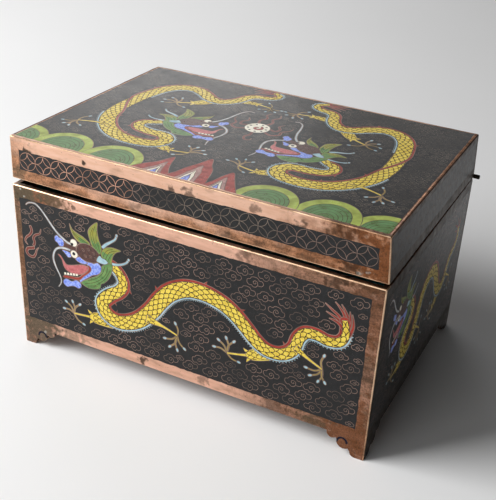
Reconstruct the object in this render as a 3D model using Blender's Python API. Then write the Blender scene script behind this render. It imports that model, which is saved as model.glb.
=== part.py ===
"""Cloisonne enamel box: a copper body on bracket feet, a hinged copper lid, and enamel panels in both.

Metres, +Z up, +X to the right along the front, +Y from the front to the back. The origin is on the
surface that the box stands on, under the middle of the whole object. The pieces are modelled in the
box's own frame, whose origin is under the middle of the front edge, and an empty carries them to the
final one.
"""

import math
from dataclasses import dataclass

import bmesh
import bpy
from mathutils import Matrix, Vector

MM = 0.001

# Body of the box, measured at the seam under the lid
BODY_WIDTH = 165.0 * MM
BODY_DEPTH = 113.4 * MM
BODY_HEIGHT = 78.4 * MM
BODY_WALL = 2.2 * MM
BODY_SIDE_TAPER = 0.6 * MM
BODY_FRONT_TAPER = 0.3 * MM
FLOOR_THICKNESS = 2.0 * MM
FLOOR_ABOVE_SKIRT = 1.0 * MM

# Bracket feet, cut from the lower edge of the four walls
FOOT_WIDTH = 16.5 * MM
FOOT_HEIGHT = 9.0 * MM

# Lid, a shallow box of its own that leans in at the sides and out at the front
LID_HEIGHT = 19.5 * MM
LID_WALL = 2.2 * MM
LID_TOP_THICKNESS = 2.2 * MM
LID_SIDE_OVERHANG = 0.3 * MM
LID_SIDE_LEAN = 1.1 * MM
LID_FRONT_SETBACK = 0.8 * MM
LID_FRONT_LEAN = 1.2 * MM

# The seam: the lid is a little warped, so its front stands off the body, more at the left
SEAM_GAP_BACK = 0.4 * MM
SEAM_GAP_FRONT_LEFT = 2.4 * MM
SEAM_GAP_FRONT_RIGHT = 1.65 * MM

# Copper borders around the enamel of the body
BODY_TOP_RAIL = 5.0 * MM
BODY_BOTTOM_RAIL = 4.6 * MM
BODY_LEFT_STILE = 2.8 * MM
BODY_RIGHT_STILE = 4.6 * MM
BODY_SIDE_STILE = 2.6 * MM

# Copper borders around the enamel of the lid
LID_TOP_RIM = 1.3 * MM
LID_BAND_STILE = 3.9 * MM
LID_BAND_TOP_RAIL = 5.2 * MM
LID_BAND_BOTTOM_RAIL = 4.6 * MM
LID_END_STILE = 2.6 * MM
LID_END_TOP_RAIL = 1.9 * MM

# Enamel panels, which sit flush in shallow trays in the copper
TRAY_DEPTH = 0.9 * MM
FIT_GAP = 0.3 * MM
EDGE_ROUND = 0.5 * MM
EDGE_SEGMENTS = 2

# Hinge: a pin through knuckles that belong by turns to the body and the lid
PIN_RADIUS = 0.95 * MM
PIN_STANDOUT = 2.6 * MM
PIN_RECESS = 0.4 * MM
PIN_END_ROUND = 0.2 * MM
RUNNING_CLEARANCE = 0.09 * MM
KNUCKLE_WALL = 0.66 * MM
KNUCKLE_COUNT = 5
KNUCKLE_GAP = 0.3 * MM
KNUCKLE_END_MARGIN = 1.0 * MM
GROOVE_SHARE_OF_WALL = 0.7

# Smoothness of round shapes
ROUND_SEGMENTS = 24
ARC_STEPS = 6
CUT_MARGIN = 2.0 * MM
SHARP_ANGLE = math.radians(35)

# Sizes that follow from the ones above
KNUCKLE_BORE = PIN_RADIUS + RUNNING_CLEARANCE
KNUCKLE_RADIUS = KNUCKLE_BORE + KNUCKLE_WALL
GROOVE_RADIUS = KNUCKLE_RADIUS + FIT_GAP
HINGE_Y = BODY_DEPTH + GROOVE_RADIUS - GROOVE_SHARE_OF_WALL * BODY_WALL
HINGE_Z = BODY_HEIGHT
FLOOR_UNDERSIDE = FOOT_HEIGHT + FLOOR_ABOVE_SKIRT
LID_BASE = BODY_HEIGHT + SEAM_GAP_BACK

# The whole object's box, which the final origin is centred under
LOW_X = -BODY_WIDTH / 2 - LID_SIDE_OVERHANG
HIGH_X = BODY_WIDTH / 2 + PIN_STANDOUT
LOW_Y = min(0.0, LID_FRONT_SETBACK - LID_FRONT_LEAN)
HIGH_Y = HINGE_Y + KNUCKLE_RADIUS

X = Vector((1, 0, 0))
Y = Vector((0, 1, 0))
Z = Vector((0, 0, 1))


@dataclass(frozen=True)
class Finish:
    """A plain surface: its colour, roughness and how metallic it is."""

    name: str
    colour: tuple
    roughness: float
    metallic: float


COPPER = Finish("copper", (0.62, 0.36, 0.23), 0.38, 1.0)
PIN_METAL = Finish("dark_pin_metal", (0.08, 0.07, 0.06), 0.55, 1.0)
BLACK_ENAMEL = Finish("black_enamel", (0.03, 0.03, 0.035), 0.3, 0.0)
TOP_ENAMEL = Finish("lid_top_enamel", (0.06, 0.07, 0.05), 0.3, 0.0)


@dataclass(frozen=True)
class Face:
    """One flat side of a box seen from outside: u runs right, v up, and their cross product out."""

    corner: Vector
    u: Vector
    v: Vector
    width: float
    height: float


@dataclass(frozen=True)
class Border:
    """Copper left round an enamel panel, on each side of it."""

    left: float
    right: float
    bottom: float
    top: float

    def wider_by(self, gap):
        return Border(self.left + gap, self.right + gap, self.bottom + gap, self.top + gap)


@dataclass(frozen=True)
class Arc:
    """A stretch of a foot's edge: centre and radii as shares of the foot's size, angles in degrees."""

    centre_u: float
    centre_v: float
    radius_u: float
    radius_v: float
    start: float
    end: float

    def points(self):
        for step in range(ARC_STEPS + 1):
            angle = math.radians(self.start + (self.end - self.start) * step / ARC_STEPS)
            u = self.centre_u + self.radius_u * math.cos(angle)
            v = self.centre_v + self.radius_v * math.sin(angle)
            yield u * FOOT_WIDTH, v * FOOT_HEIGHT


# A foot's inner edge from the ground up: the rounded toe, then two cloud lobes
FOOT_ARCS = (
    Arc(0.24, 0.24, 0.135, 0.24, -90, 0),
    Arc(0.545, 0.63, 0.188, 0.345, -130, 8),
    Arc(0.86, 0.93, 0.14, 0.255, -140, 0),
)


def clear_scene():
    for obj in list(bpy.data.objects):
        bpy.data.objects.remove(obj)


def make_material(finish):
    material = bpy.data.materials.new(finish.name)
    material.use_nodes = True
    shader = material.node_tree.nodes["Principled BSDF"]
    shader.inputs["Base Color"].default_value = (*finish.colour, 1.0)
    shader.inputs["Roughness"].default_value = finish.roughness
    shader.inputs["Metallic"].default_value = finish.metallic
    return material


def make_object(name, bm):
    """Links a new object that holds the mesh, with its faces pointing out."""
    bmesh.ops.recalc_face_normals(bm, faces=bm.faces)
    mesh = bpy.data.meshes.new(name)
    bm.to_mesh(mesh)
    bm.free()
    obj = bpy.data.objects.new(name, mesh)
    bpy.context.scene.collection.objects.link(obj)
    return obj


def make_block(name, low, high):
    """A plain block between two corners."""
    bm = bmesh.new()
    bmesh.ops.create_cube(bm, size=1.0)
    bmesh.ops.scale(bm, vec=high - low, verts=bm.verts)
    bmesh.ops.translate(bm, vec=(low + high) / 2, verts=bm.verts)
    return make_object(name, bm)


def make_slab(name, face, border, low, high):
    """A slab over the part of a face inside the border, from low to high along its normal."""
    normal = face.u.cross(face.v)
    start = (border.left, border.bottom, low)
    end = (face.width - border.right, face.height - border.top, high)
    corners = [
        face.corner + face.u * across + face.v * up + normal * out
        for across, up, out in (start, end)
    ]
    near = Vector(map(min, *corners))
    far = Vector(map(max, *corners))
    return make_block(name, near, far)


def make_prism(name, outline, direction):
    """Sweeps a flat outline along a direction."""
    bm = bmesh.new()
    face = bm.faces.new([bm.verts.new(point) for point in outline])
    swept = bmesh.ops.extrude_face_region(bm, geom=[face])
    moved = [item for item in swept["geom"] if isinstance(item, bmesh.types.BMVert)]
    bmesh.ops.translate(bm, vec=direction, verts=moved)
    return make_object(name, bm)


def make_rod(name, start_x, end_x, radius, end_round=0.0):
    """A round rod along X on the hinge axis."""
    bm = bmesh.new()
    bmesh.ops.create_cone(
        bm, cap_ends=True, segments=ROUND_SEGMENTS, radius1=radius, radius2=radius, depth=end_x - start_x
    )
    bmesh.ops.rotate(bm, matrix=Matrix.Rotation(math.pi / 2, 3, "Y"), verts=bm.verts)
    bmesh.ops.translate(bm, vec=((start_x + end_x) / 2, HINGE_Y, HINGE_Z), verts=bm.verts)
    if end_round:
        rims = [edge for edge in bm.edges if any(len(face.verts) > 4 for face in edge.link_faces)]
        bmesh.ops.bevel(
            bm,
            geom=rims,
            offset=end_round,
            offset_type="OFFSET",
            affect="EDGES",
            segments=1,
            profile=0.5,
            material=-1,
        )
    return make_object(name, bm)


def make_tube(name, start_x, end_x, bore, radius):
    """A knuckle: a tube along X on the hinge axis."""
    bm = bmesh.new()
    rims = []
    for size in (bore, radius):
        ring = bmesh.ops.create_circle(bm, cap_ends=False, segments=ROUND_SEGMENTS, radius=size)
        rims += {edge for vert in ring["verts"] for edge in vert.link_edges}
    wall = bmesh.ops.bridge_loops(bm, edges=rims)
    swept = bmesh.ops.extrude_face_region(bm, geom=wall["faces"])
    moved = [item for item in swept["geom"] if isinstance(item, bmesh.types.BMVert)]
    bmesh.ops.translate(bm, vec=Z * (end_x - start_x), verts=moved)
    bmesh.ops.rotate(bm, matrix=Matrix.Rotation(math.pi / 2, 3, "Y"), verts=bm.verts)
    bmesh.ops.translate(bm, vec=(start_x, HINGE_Y, HINGE_Z), verts=bm.verts)
    return make_object(name, bm)


def subtract(piece, cutters):
    """Cuts the cutters out of the piece, one after another, and removes them."""
    for cutter in cutters:
        modifier = piece.modifiers.new(cutter.name, "BOOLEAN")
        modifier.operation = "DIFFERENCE"
        modifier.solver = "EXACT"
        modifier.object = cutter
    graph = bpy.context.evaluated_depsgraph_get()
    piece.data = bpy.data.meshes.new_from_object(piece.evaluated_get(graph))
    piece.modifiers.clear()
    for cutter in cutters:
        bpy.data.objects.remove(cutter)


def round_edges(piece, wanted):
    """Rounds the straight edges that wanted picks by the positions of their two ends."""
    bm = bmesh.new()
    bm.from_mesh(piece.data)
    edges = [edge for edge in bm.edges if wanted(edge.verts[0].co, edge.verts[1].co)]
    bmesh.ops.bevel(
        bm,
        geom=edges,
        offset=EDGE_ROUND,
        offset_type="OFFSET",
        affect="EDGES",
        segments=EDGE_SEGMENTS,
        profile=0.5,
        material=-1,
    )
    bm.to_mesh(piece.data)
    bm.free()


def reshape(piece, place):
    """Moves every point of a piece to where place puts it."""
    for vertex in piece.data.vertices:
        vertex.co = place(vertex.co)


def taper_body(point):
    """The walls of the body draw in a little from the seam to the feet."""
    drop = 1 - point.z / BODY_HEIGHT
    narrow = 1 - 2 * BODY_SIDE_TAPER / BODY_WIDTH * drop
    shallow = 1 - 2 * BODY_FRONT_TAPER / BODY_DEPTH * drop
    middle = BODY_DEPTH / 2
    return Vector((point.x * narrow, middle + (point.y - middle) * shallow, point.z))


def shape_lid(point):
    """Leans the lid's walls, then lifts its front off the body by the seam's gaps."""
    rise = (point.z - LID_BASE) / LID_HEIGHT
    half_width = BODY_WIDTH / 2 + LID_SIDE_OVERHANG - LID_SIDE_LEAN * rise
    half_depth = BODY_DEPTH / 2 - LID_FRONT_SETBACK + LID_FRONT_LEAN * rise
    middle = BODY_DEPTH / 2
    x = point.x * half_width / (BODY_WIDTH / 2)
    y = middle + (point.y - middle) * half_depth / (BODY_DEPTH / 2)
    rightwards = point.x / BODY_WIDTH + 0.5
    front_gap = SEAM_GAP_FRONT_LEFT + (SEAM_GAP_FRONT_RIGHT - SEAM_GAP_FRONT_LEFT) * rightwards
    forwards = 1 - point.y / BODY_DEPTH
    return Vector((x, y, point.z + (front_gap - SEAM_GAP_BACK) * forwards))


def side_faces(base, height):
    """The four upright sides of the box between two levels."""
    half = BODY_WIDTH / 2
    return {
        "front": Face(Vector((-half, 0, base)), X, Z, BODY_WIDTH, height),
        "right": Face(Vector((half, 0, base)), Y, Z, BODY_DEPTH, height),
        "back": Face(Vector((half, BODY_DEPTH, base)), -X, Z, BODY_WIDTH, height),
        "left": Face(Vector((-half, BODY_DEPTH, base)), -Y, Z, BODY_DEPTH, height),
    }


def foot_opening(face):
    """The outline between the two feet of one side, with the cloud lobes at both ends."""
    edge = [point for arc in FOOT_ARCS for point in arc.points()]
    edge.append((FOOT_WIDTH, FOOT_HEIGHT))
    left = [(edge[0][0], -CUT_MARGIN), *edge]
    right = [(face.width - u, v) for u, v in reversed(left)]
    start = face.corner + face.u.cross(face.v) * CUT_MARGIN
    return [start + face.u * u + face.v * v for u, v in left + right]


def groove_cutter(name):
    """The round groove that the knuckles lie in, across the whole back."""
    reach = BODY_WIDTH / 2 + CUT_MARGIN
    return make_rod(name, -reach, reach, GROOVE_RADIUS)


def tray_cutters(panels):
    return [
        make_slab(name + "_tray", face, border, -TRAY_DEPTH, CUT_MARGIN)
        for name, (face, border) in panels.items()
    ]


def build_panels(panels, place):
    """The enamel of each tray, flush with the copper round it."""
    pieces = []
    for name, (face, border) in panels.items():
        panel = make_slab(name, face, border.wider_by(FIT_GAP), FIT_GAP - TRAY_DEPTH, 0.0)
        reshape(panel, place)
        pieces.append(panel)
    return pieces


def body_panels():
    bottom = FOOT_HEIGHT + BODY_BOTTOM_RAIL
    long_side = Border(BODY_LEFT_STILE, BODY_RIGHT_STILE, bottom, BODY_TOP_RAIL)
    end = Border(BODY_SIDE_STILE, BODY_SIDE_STILE, bottom, BODY_TOP_RAIL)
    faces = side_faces(0.0, BODY_HEIGHT)
    return {
        "front_enamel_panel": (faces["front"], long_side),
        "right_enamel_panel": (faces["right"], end),
        "back_enamel_panel": (faces["back"], long_side),
        "left_enamel_panel": (faces["left"], end),
    }


def lid_panels():
    band = Border(LID_BAND_STILE, LID_BAND_STILE, LID_BAND_BOTTOM_RAIL, LID_BAND_TOP_RAIL)
    end = Border(LID_END_STILE, LID_END_STILE, LID_BAND_BOTTOM_RAIL, LID_END_TOP_RAIL)
    rim = Border(LID_TOP_RIM, LID_TOP_RIM, LID_TOP_RIM, LID_TOP_RIM)
    faces = side_faces(LID_BASE, LID_HEIGHT)
    top = Face(Vector((-BODY_WIDTH / 2, 0, LID_BASE + LID_HEIGHT)), X, Y, BODY_WIDTH, BODY_DEPTH)
    return {
        "lid_top_enamel": (top, rim),
        "lid_front_enamel_band": (faces["front"], band),
        "lid_right_enamel_band": (faces["right"], end),
        "lid_back_enamel_band": (faces["back"], band),
        "lid_left_enamel_band": (faces["left"], end),
    }


def build_body(panels):
    """The copper body: four walls with bracket feet, a floor above them, and trays for the enamel."""
    half = BODY_WIDTH / 2
    body = make_block("box_body", Vector((-half, 0, 0)), Vector((half, BODY_DEPTH, BODY_HEIGHT)))
    round_edges(body, lambda a, b: a.z != b.z or a.z > 0)
    inner_half = half - BODY_WALL
    inner_back = BODY_DEPTH - BODY_WALL
    floor_top = FLOOR_UNDERSIDE + FLOOR_THICKNESS
    inside = make_block(
        "inside",
        Vector((-inner_half, BODY_WALL, floor_top)),
        Vector((inner_half, inner_back, BODY_HEIGHT + CUT_MARGIN)),
    )
    underside = make_block(
        "underside",
        Vector((-inner_half, BODY_WALL, -CUT_MARGIN)),
        Vector((inner_half, inner_back, FLOOR_UNDERSIDE)),
    )
    faces = side_faces(0.0, BODY_HEIGHT)
    across = make_prism("across", foot_opening(faces["front"]), Y * (BODY_DEPTH + 2 * CUT_MARGIN))
    along = make_prism("along", foot_opening(faces["right"]), -X * (BODY_WIDTH + 2 * CUT_MARGIN))
    subtract(body, [inside, underside, across, along, *tray_cutters(panels)])
    reshape(body, taper_body)
    subtract(body, [groove_cutter("body_groove")])
    return body


def build_lid(panels):
    """The copper lid: a shallow box, open below, with trays for the enamel."""
    half = BODY_WIDTH / 2
    top = LID_BASE + LID_HEIGHT
    lid = make_block("lid", Vector((-half, 0, LID_BASE)), Vector((half, BODY_DEPTH, top)))
    round_edges(lid, lambda a, b: True)
    inside = make_block(
        "lid_inside",
        Vector((LID_WALL - half, LID_WALL, LID_BASE - CUT_MARGIN)),
        Vector((half - LID_WALL, BODY_DEPTH - LID_WALL, top - LID_TOP_THICKNESS)),
    )
    subtract(lid, [inside, *tray_cutters(panels)])
    reshape(lid, shape_lid)
    subtract(lid, [groove_cutter("lid_groove")])
    return lid


def build_knuckles():
    """The knuckles across the back, by turns on the body and on the lid, from left to right."""
    start = -BODY_WIDTH / 2 + KNUCKLE_END_MARGIN
    room = BODY_WIDTH - 2 * KNUCKLE_END_MARGIN - (KNUCKLE_COUNT - 1) * KNUCKLE_GAP
    length = room / KNUCKLE_COUNT
    on_body = []
    on_lid = []
    for index in range(KNUCKLE_COUNT):
        left = start + index * (length + KNUCKLE_GAP)
        owner, label = ((on_body, "body"), (on_lid, "lid"))[index % 2]
        name = f"{label}_hinge_knuckle_{len(owner) + 1}"
        owner.append(make_tube(name, left, left + length, KNUCKLE_BORE, KNUCKLE_RADIUS))
    return on_body, on_lid


def build_pin():
    """The hinge pin, short of the left end and standing out at the right."""
    left = -BODY_WIDTH / 2 + KNUCKLE_END_MARGIN + PIN_RECESS
    return make_rod("hinge_pin", left, BODY_WIDTH / 2 + PIN_STANDOUT, PIN_RADIUS, PIN_END_ROUND)


def make_empty(name, location, parent=None):
    empty = bpy.data.objects.new(name, None)
    empty.location = location
    empty.parent = parent
    bpy.context.scene.collection.objects.link(empty)
    return empty


def finish_pieces(pieces, material, parent, origin):
    """Gives pieces their material, and an origin at the point of the box's frame that holds their parent."""
    for piece in pieces:
        piece.data.transform(Matrix.Translation(-origin))
        piece.data.materials.clear()
        piece.data.materials.append(material)
        piece.data.shade_smooth()
        piece.data.set_sharp_from_angle(angle=SHARP_ANGLE)
        piece.parent = parent


def main():
    clear_scene()
    copper = make_material(COPPER)
    pin_metal = make_material(PIN_METAL)
    black = make_material(BLACK_ENAMEL)
    top_enamel = make_material(TOP_ENAMEL)

    shift = Vector(((LOW_X + HIGH_X) / -2, (LOW_Y + HIGH_Y) / -2, 0))
    box_frame = make_empty("box_frame", shift)
    hinge = Vector((0, HINGE_Y, HINGE_Z))
    lid_frame = make_empty("lid_hinge_axis", hinge, box_frame)
    ground = Vector((0, 0, 0))

    body_trays = body_panels()
    lid_trays = lid_panels()
    on_body, on_lid = build_knuckles()
    finish_pieces([build_body(body_trays), *on_body], copper, box_frame, ground)
    finish_pieces(build_panels(body_trays, taper_body), black, box_frame, ground)
    finish_pieces([build_pin()], pin_metal, box_frame, ground)
    finish_pieces([build_lid(lid_trays), *on_lid], copper, lid_frame, hinge)
    lid_top, *lid_bands = build_panels(lid_trays, shape_lid)
    finish_pieces([lid_top], top_enamel, lid_frame, hinge)
    finish_pieces(lid_bands, black, lid_frame, hinge)


main()
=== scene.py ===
"""The looks of a cloisonne enamel box: worn copper shells, a hinge, and enamel pictures of dragons.

Each enamel field is one flat mesh. Its picture is drawn in millimetres as a stack of flat cells, from the
ground up, and Blender's planar triangulation cuts the stack into faces, each with the enamel or the wire
that lies on top there. So wires and colours are flush, as they are on the ground and buffed box.
"""

import logging
import math
import random
from collections.abc import Callable, Iterable, Sequence
from dataclasses import dataclass, field
from enum import Enum

import bmesh
import bpy
import numpy as np
from mathutils import Matrix, Vector, noise
from mathutils.geometry import delaunay_2d_cdt


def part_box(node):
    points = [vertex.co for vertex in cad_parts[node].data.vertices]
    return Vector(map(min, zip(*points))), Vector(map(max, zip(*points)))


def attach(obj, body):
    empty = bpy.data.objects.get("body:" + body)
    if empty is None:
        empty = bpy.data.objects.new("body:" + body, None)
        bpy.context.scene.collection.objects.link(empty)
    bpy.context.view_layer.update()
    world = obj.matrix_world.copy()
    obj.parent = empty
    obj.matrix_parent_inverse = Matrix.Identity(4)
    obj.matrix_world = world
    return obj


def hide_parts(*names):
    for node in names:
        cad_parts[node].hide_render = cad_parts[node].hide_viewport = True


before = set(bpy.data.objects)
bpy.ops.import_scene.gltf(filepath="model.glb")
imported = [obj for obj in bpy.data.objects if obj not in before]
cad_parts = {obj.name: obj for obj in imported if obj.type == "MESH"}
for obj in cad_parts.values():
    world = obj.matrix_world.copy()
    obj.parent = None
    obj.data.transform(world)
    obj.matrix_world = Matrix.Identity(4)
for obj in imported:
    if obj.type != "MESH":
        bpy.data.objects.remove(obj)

log = logging.getLogger("enamel_box")

MM = 0.001

BODY_WIDTH = 165.0
BODY_DEPTH = 113.4

Point = tuple[float, float]
Outline = list[Point]
Route = tuple[Point, ...]
Bounds = tuple[float, float, float, float]
Colour = tuple[float, float, float]
Socket = bpy.types.NodeSocket


def box_point(x: float, y: float, z: float) -> Vector:
    """Turn a place on the box into a place in the frame.

    Args:
        x: Millimetres to the right of the body's left side.
        y: Millimetres behind the body's front.
        z: Millimetres above the surface that the box stands on.

    Returns:
        The point in metres, in the frame.
    """
    low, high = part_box("box_body")
    front = high.y - BODY_DEPTH * MM
    return Vector((low.x + x * MM, front + y * MM, z * MM))


@dataclass(frozen=True)
class EnamelFinish:
    """A satin enamel: its two tones, how fine they are mixed, how pitted it is, and its gloss."""

    colour: Colour
    second: Colour
    grain: float = 420.0
    roughness: float = 0.3
    specks: float = 0.5
    metallic: float = 0.0
    gloss: float = 0.3


def srgb(red: int, green: int, blue: int) -> Colour:
    """Turn a display colour from 0 to 255 into a linear one."""
    shares = (red / 255, green / 255, blue / 255)
    return tuple(c / 12.92 if c <= 10 / 255 else ((c + 0.055) / 1.055) ** 2.4 for c in shares)


class Enamel(Enum):
    """What fills a cell of the picture, with its finish: an enamel, the shell's own copper, or a wire."""

    BLACK = EnamelFinish(srgb(18, 18, 19), srgb(26, 26, 27), roughness=0.31, specks=1.0)
    YELLOW = EnamelFinish(srgb(236, 212, 88), srgb(214, 184, 60))
    CLAW_YELLOW = EnamelFinish(srgb(172, 148, 78), srgb(140, 118, 58))
    RED = EnamelFinish(srgb(164, 56, 42), srgb(128, 40, 32))
    DULL_RED = EnamelFinish(srgb(128, 58, 48), srgb(100, 42, 36))
    PALE_BLUE = EnamelFinish(srgb(172, 202, 210), srgb(138, 172, 186))
    WHISKER = EnamelFinish(srgb(202, 206, 208), srgb(160, 168, 172))
    BLUE = EnamelFinish(srgb(92, 118, 216), srgb(168, 184, 238), 1300.0)
    GREEN = EnamelFinish(srgb(78, 122, 66), srgb(112, 148, 84))
    OLIVE = EnamelFinish(srgb(152, 150, 62), srgb(120, 134, 62))
    PINK = EnamelFinish(srgb(200, 116, 116), srgb(168, 84, 86), 700.0)
    BROWN = EnamelFinish(srgb(92, 58, 50), srgb(64, 42, 38), 900.0)
    CREAM = EnamelFinish(srgb(242, 236, 220), srgb(226, 218, 198))
    HILL_LIGHT = EnamelFinish(srgb(174, 190, 88), srgb(138, 148, 62), 240.0)
    HILL_DARK = EnamelFinish(srgb(82, 112, 58), srgb(100, 140, 88), 300.0)
    ROCK_GREY = EnamelFinish(srgb(178, 138, 130), srgb(140, 104, 100), 600.0)
    SHELL = None
    WIRE = EnamelFinish(srgb(156, 130, 118), srgb(92, 80, 74), 70.0, 0.4, 0.4, 0.7)
    DARK_WIRE = EnamelFinish(srgb(88, 64, 38), srgb(58, 44, 32), 300.0, 0.42, 0.4, 0.5)
    BRIGHT_WIRE = EnamelFinish(srgb(214, 164, 140), srgb(150, 112, 92), 110.0, 0.36, 0.4, 0.8)
    GREY_WIRE = EnamelFinish(srgb(136, 122, 110), srgb(84, 74, 67), 70.0, 0.36, 0.4, 0.5)


def smooth_line(points: Sequence[Point], step: float = 0.5, closed: bool = False) -> Outline:
    """Draw a smooth curve through a few points.

    Args:
        points: The points that the curve passes through.
        step: About how far apart the new points are, in millimetres.
        closed: Whether the curve runs back to its start.

    Returns:
        The curve's points.
    """
    count = len(points)
    spans = count if closed else count - 1
    line: Outline = []
    for span in range(spans):
        if closed:
            a, b, c, d = (points[(span + k) % count] for k in (-1, 0, 1, 2))
        else:
            a, b, c, d = (points[min(max(span + k, 0), count - 1)] for k in (-1, 0, 1, 2))
        pieces = max(1, round(math.dist(b, c) / step))
        for piece in range(pieces):
            t = piece / pieces
            line.append(
                tuple(
                    0.5
                    * (
                        2 * b[i]
                        + (c[i] - a[i]) * t
                        + (2 * a[i] - 5 * b[i] + 4 * c[i] - d[i]) * t**2
                        + (3 * b[i] - a[i] - 3 * c[i] + d[i]) * t**3
                    )
                    for i in (0, 1)
                )
            )
    if not closed:
        line.append(tuple(points[-1]))
    return line


def turned(centre: Point, x: float, y: float, angle: float) -> Point:
    """Find where a point lies once it is turned about a centre.

    Args:
        centre: The centre.
        x: How far right of the centre the point lies before it is turned.
        y: How far above the centre it lies then.
        angle: How far it is turned, in radians.

    Returns:
        The turned point.
    """
    cosine, sine = math.cos(angle), math.sin(angle)
    return centre[0] + x * cosine - y * sine, centre[1] + x * sine + y * cosine


def spiral(centre: Point, pitch: float, turn: float) -> Outline:
    """Draw a spiral of ten points outwards, each a pitch further out and a turn further round."""
    x, y = centre
    return [(x + pitch * k * math.cos(turn * k), y + pitch * k * math.sin(turn * k)) for k in range(1, 11)]


def ellipse(centre: Point, across: float, up: float, turn: float = 0.0, sides: int = 20) -> Outline:
    """Draw an ellipse.

    Args:
        centre: Its middle.
        across: Its half width before it is turned.
        up: Its half height before it is turned.
        turn: How far it is turned, in degrees.
        sides: How many points it has.

    Returns:
        Its outline.
    """
    lean = math.radians(turn)
    outline = []
    for side in range(sides):
        angle = math.tau * side / sides
        x, y = across * math.cos(angle), up * math.sin(angle)
        outline.append(turned(centre, x, y, lean))
    return outline


def normals_of(line: Sequence[Point], closed: bool = False) -> list[Point]:
    """Find the direction to the left of a line at each of its points.

    Args:
        line: The line.
        closed: Whether it runs back to its start.

    Returns:
        A unit vector for each point.
    """
    last = len(line) - 1
    normals = []
    for index in range(len(line)):
        before = line[index - 1] if closed else line[max(index - 1, 0)]
        after = line[(index + 1) % len(line)] if closed else line[min(index + 1, last)]
        dx, dy = after[0] - before[0], after[1] - before[1]
        length = math.hypot(dx, dy) or 1.0
        normals.append((-dy / length, dx / length))
    return normals


def shifted(line: Sequence[Point], away: float | Sequence[float], closed: bool = False) -> Outline:
    """Move each point of a line to its left.

    Args:
        line: The line.
        away: How far, in millimetres, for all points or for each.
        closed: Whether the line runs back to its start.

    Returns:
        The moved line.
    """
    steps = [away] * len(line) if isinstance(away, (int, float)) else away
    return [(p[0] + n[0] * s, p[1] + n[1] * s) for p, n, s in zip(line, normals_of(line, closed), steps)]


def strip(line: Sequence[Point], left: float | Sequence[float], right: float | Sequence[float]) -> Outline:
    """Outline a band along a line.

    Args:
        line: The line that the band follows.
        left: Where the band's left edge is, to the left of the line.
        right: Where its right edge is, to the left of the line too.

    Returns:
        The band's outline.
    """
    return shifted(line, left) + shifted(line, right)[::-1]


def spread_widths(count: int, widths: Sequence[float]) -> list[float]:
    """Spread a few values evenly over many points, with straight changes between them.

    Args:
        count: How many points there are.
        widths: The values, from the first point to the last.

    Returns:
        A value for each point.
    """
    spread = []
    for index in range(count):
        place = index / (count - 1) * (len(widths) - 1)
        low = min(int(place), len(widths) - 2)
        spread.append(widths[low] + (widths[low + 1] - widths[low]) * (place - low))
    return spread


def taper(line: Sequence[Point], widths: Sequence[float]) -> Outline:
    """Outline a band whose half width changes evenly through a few values from its start to its end.

    Args:
        line: The line that the band follows.
        widths: Half widths, spread evenly over the line.

    Returns:
        The band's outline.
    """
    halves = spread_widths(len(line), widths)
    return strip(line, halves, [-half for half in halves])


def signed_area(outline: Sequence[Point]) -> float:
    """Return the outline's area, above zero where it runs anticlockwise."""
    return sum(a[0] * b[1] - b[0] * a[1] for a, b in zip(outline, [*outline[1:], outline[0]])) / 2


def cells_on_top(points: np.ndarray, outlines: Sequence[Outline]) -> np.ndarray:
    """Find which of a stack of outlines lies on top at each point.

    Args:
        points: The points, one in each row.
        outlines: The outlines, the lowest first. The first one holds every point.

    Returns:
        The number of the topmost outline round each point.
    """
    top = np.zeros(len(points), dtype=int)
    order = np.argsort(points[:, 1], kind="stable")
    all_x, all_y = points[order, 0], points[order, 1]
    for index, outline in enumerate(outlines):
        ring = np.array(outline)
        first, last = np.searchsorted(all_y, (ring[:, 1].min(), ring[:, 1].max()))
        across = all_x[first:last]
        near = first + np.nonzero((across > ring[:, 0].min()) & (across < ring[:, 0].max()))[0]
        x, y = all_x[near], all_y[near]
        step = np.roll(ring, -1, axis=0) - ring
        lows = np.searchsorted(y, np.minimum(ring[:, 1], ring[:, 1] + step[:, 1]))
        highs = np.searchsorted(y, np.maximum(ring[:, 1], ring[:, 1] + step[:, 1]))
        winding = np.zeros(len(near), dtype=int)
        for edge in np.nonzero(highs > lows)[0]:
            span = slice(lows[edge], highs[edge])
            side = step[edge, 0] * (y[span] - ring[edge, 1]) - (x[span] - ring[edge, 0]) * step[edge, 1]
            if step[edge, 1] > 0:
                winding[span] += side > 0
            else:
                winding[span] -= side < 0
        top[order[near[winding != 0]]] = index
    return top


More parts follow.
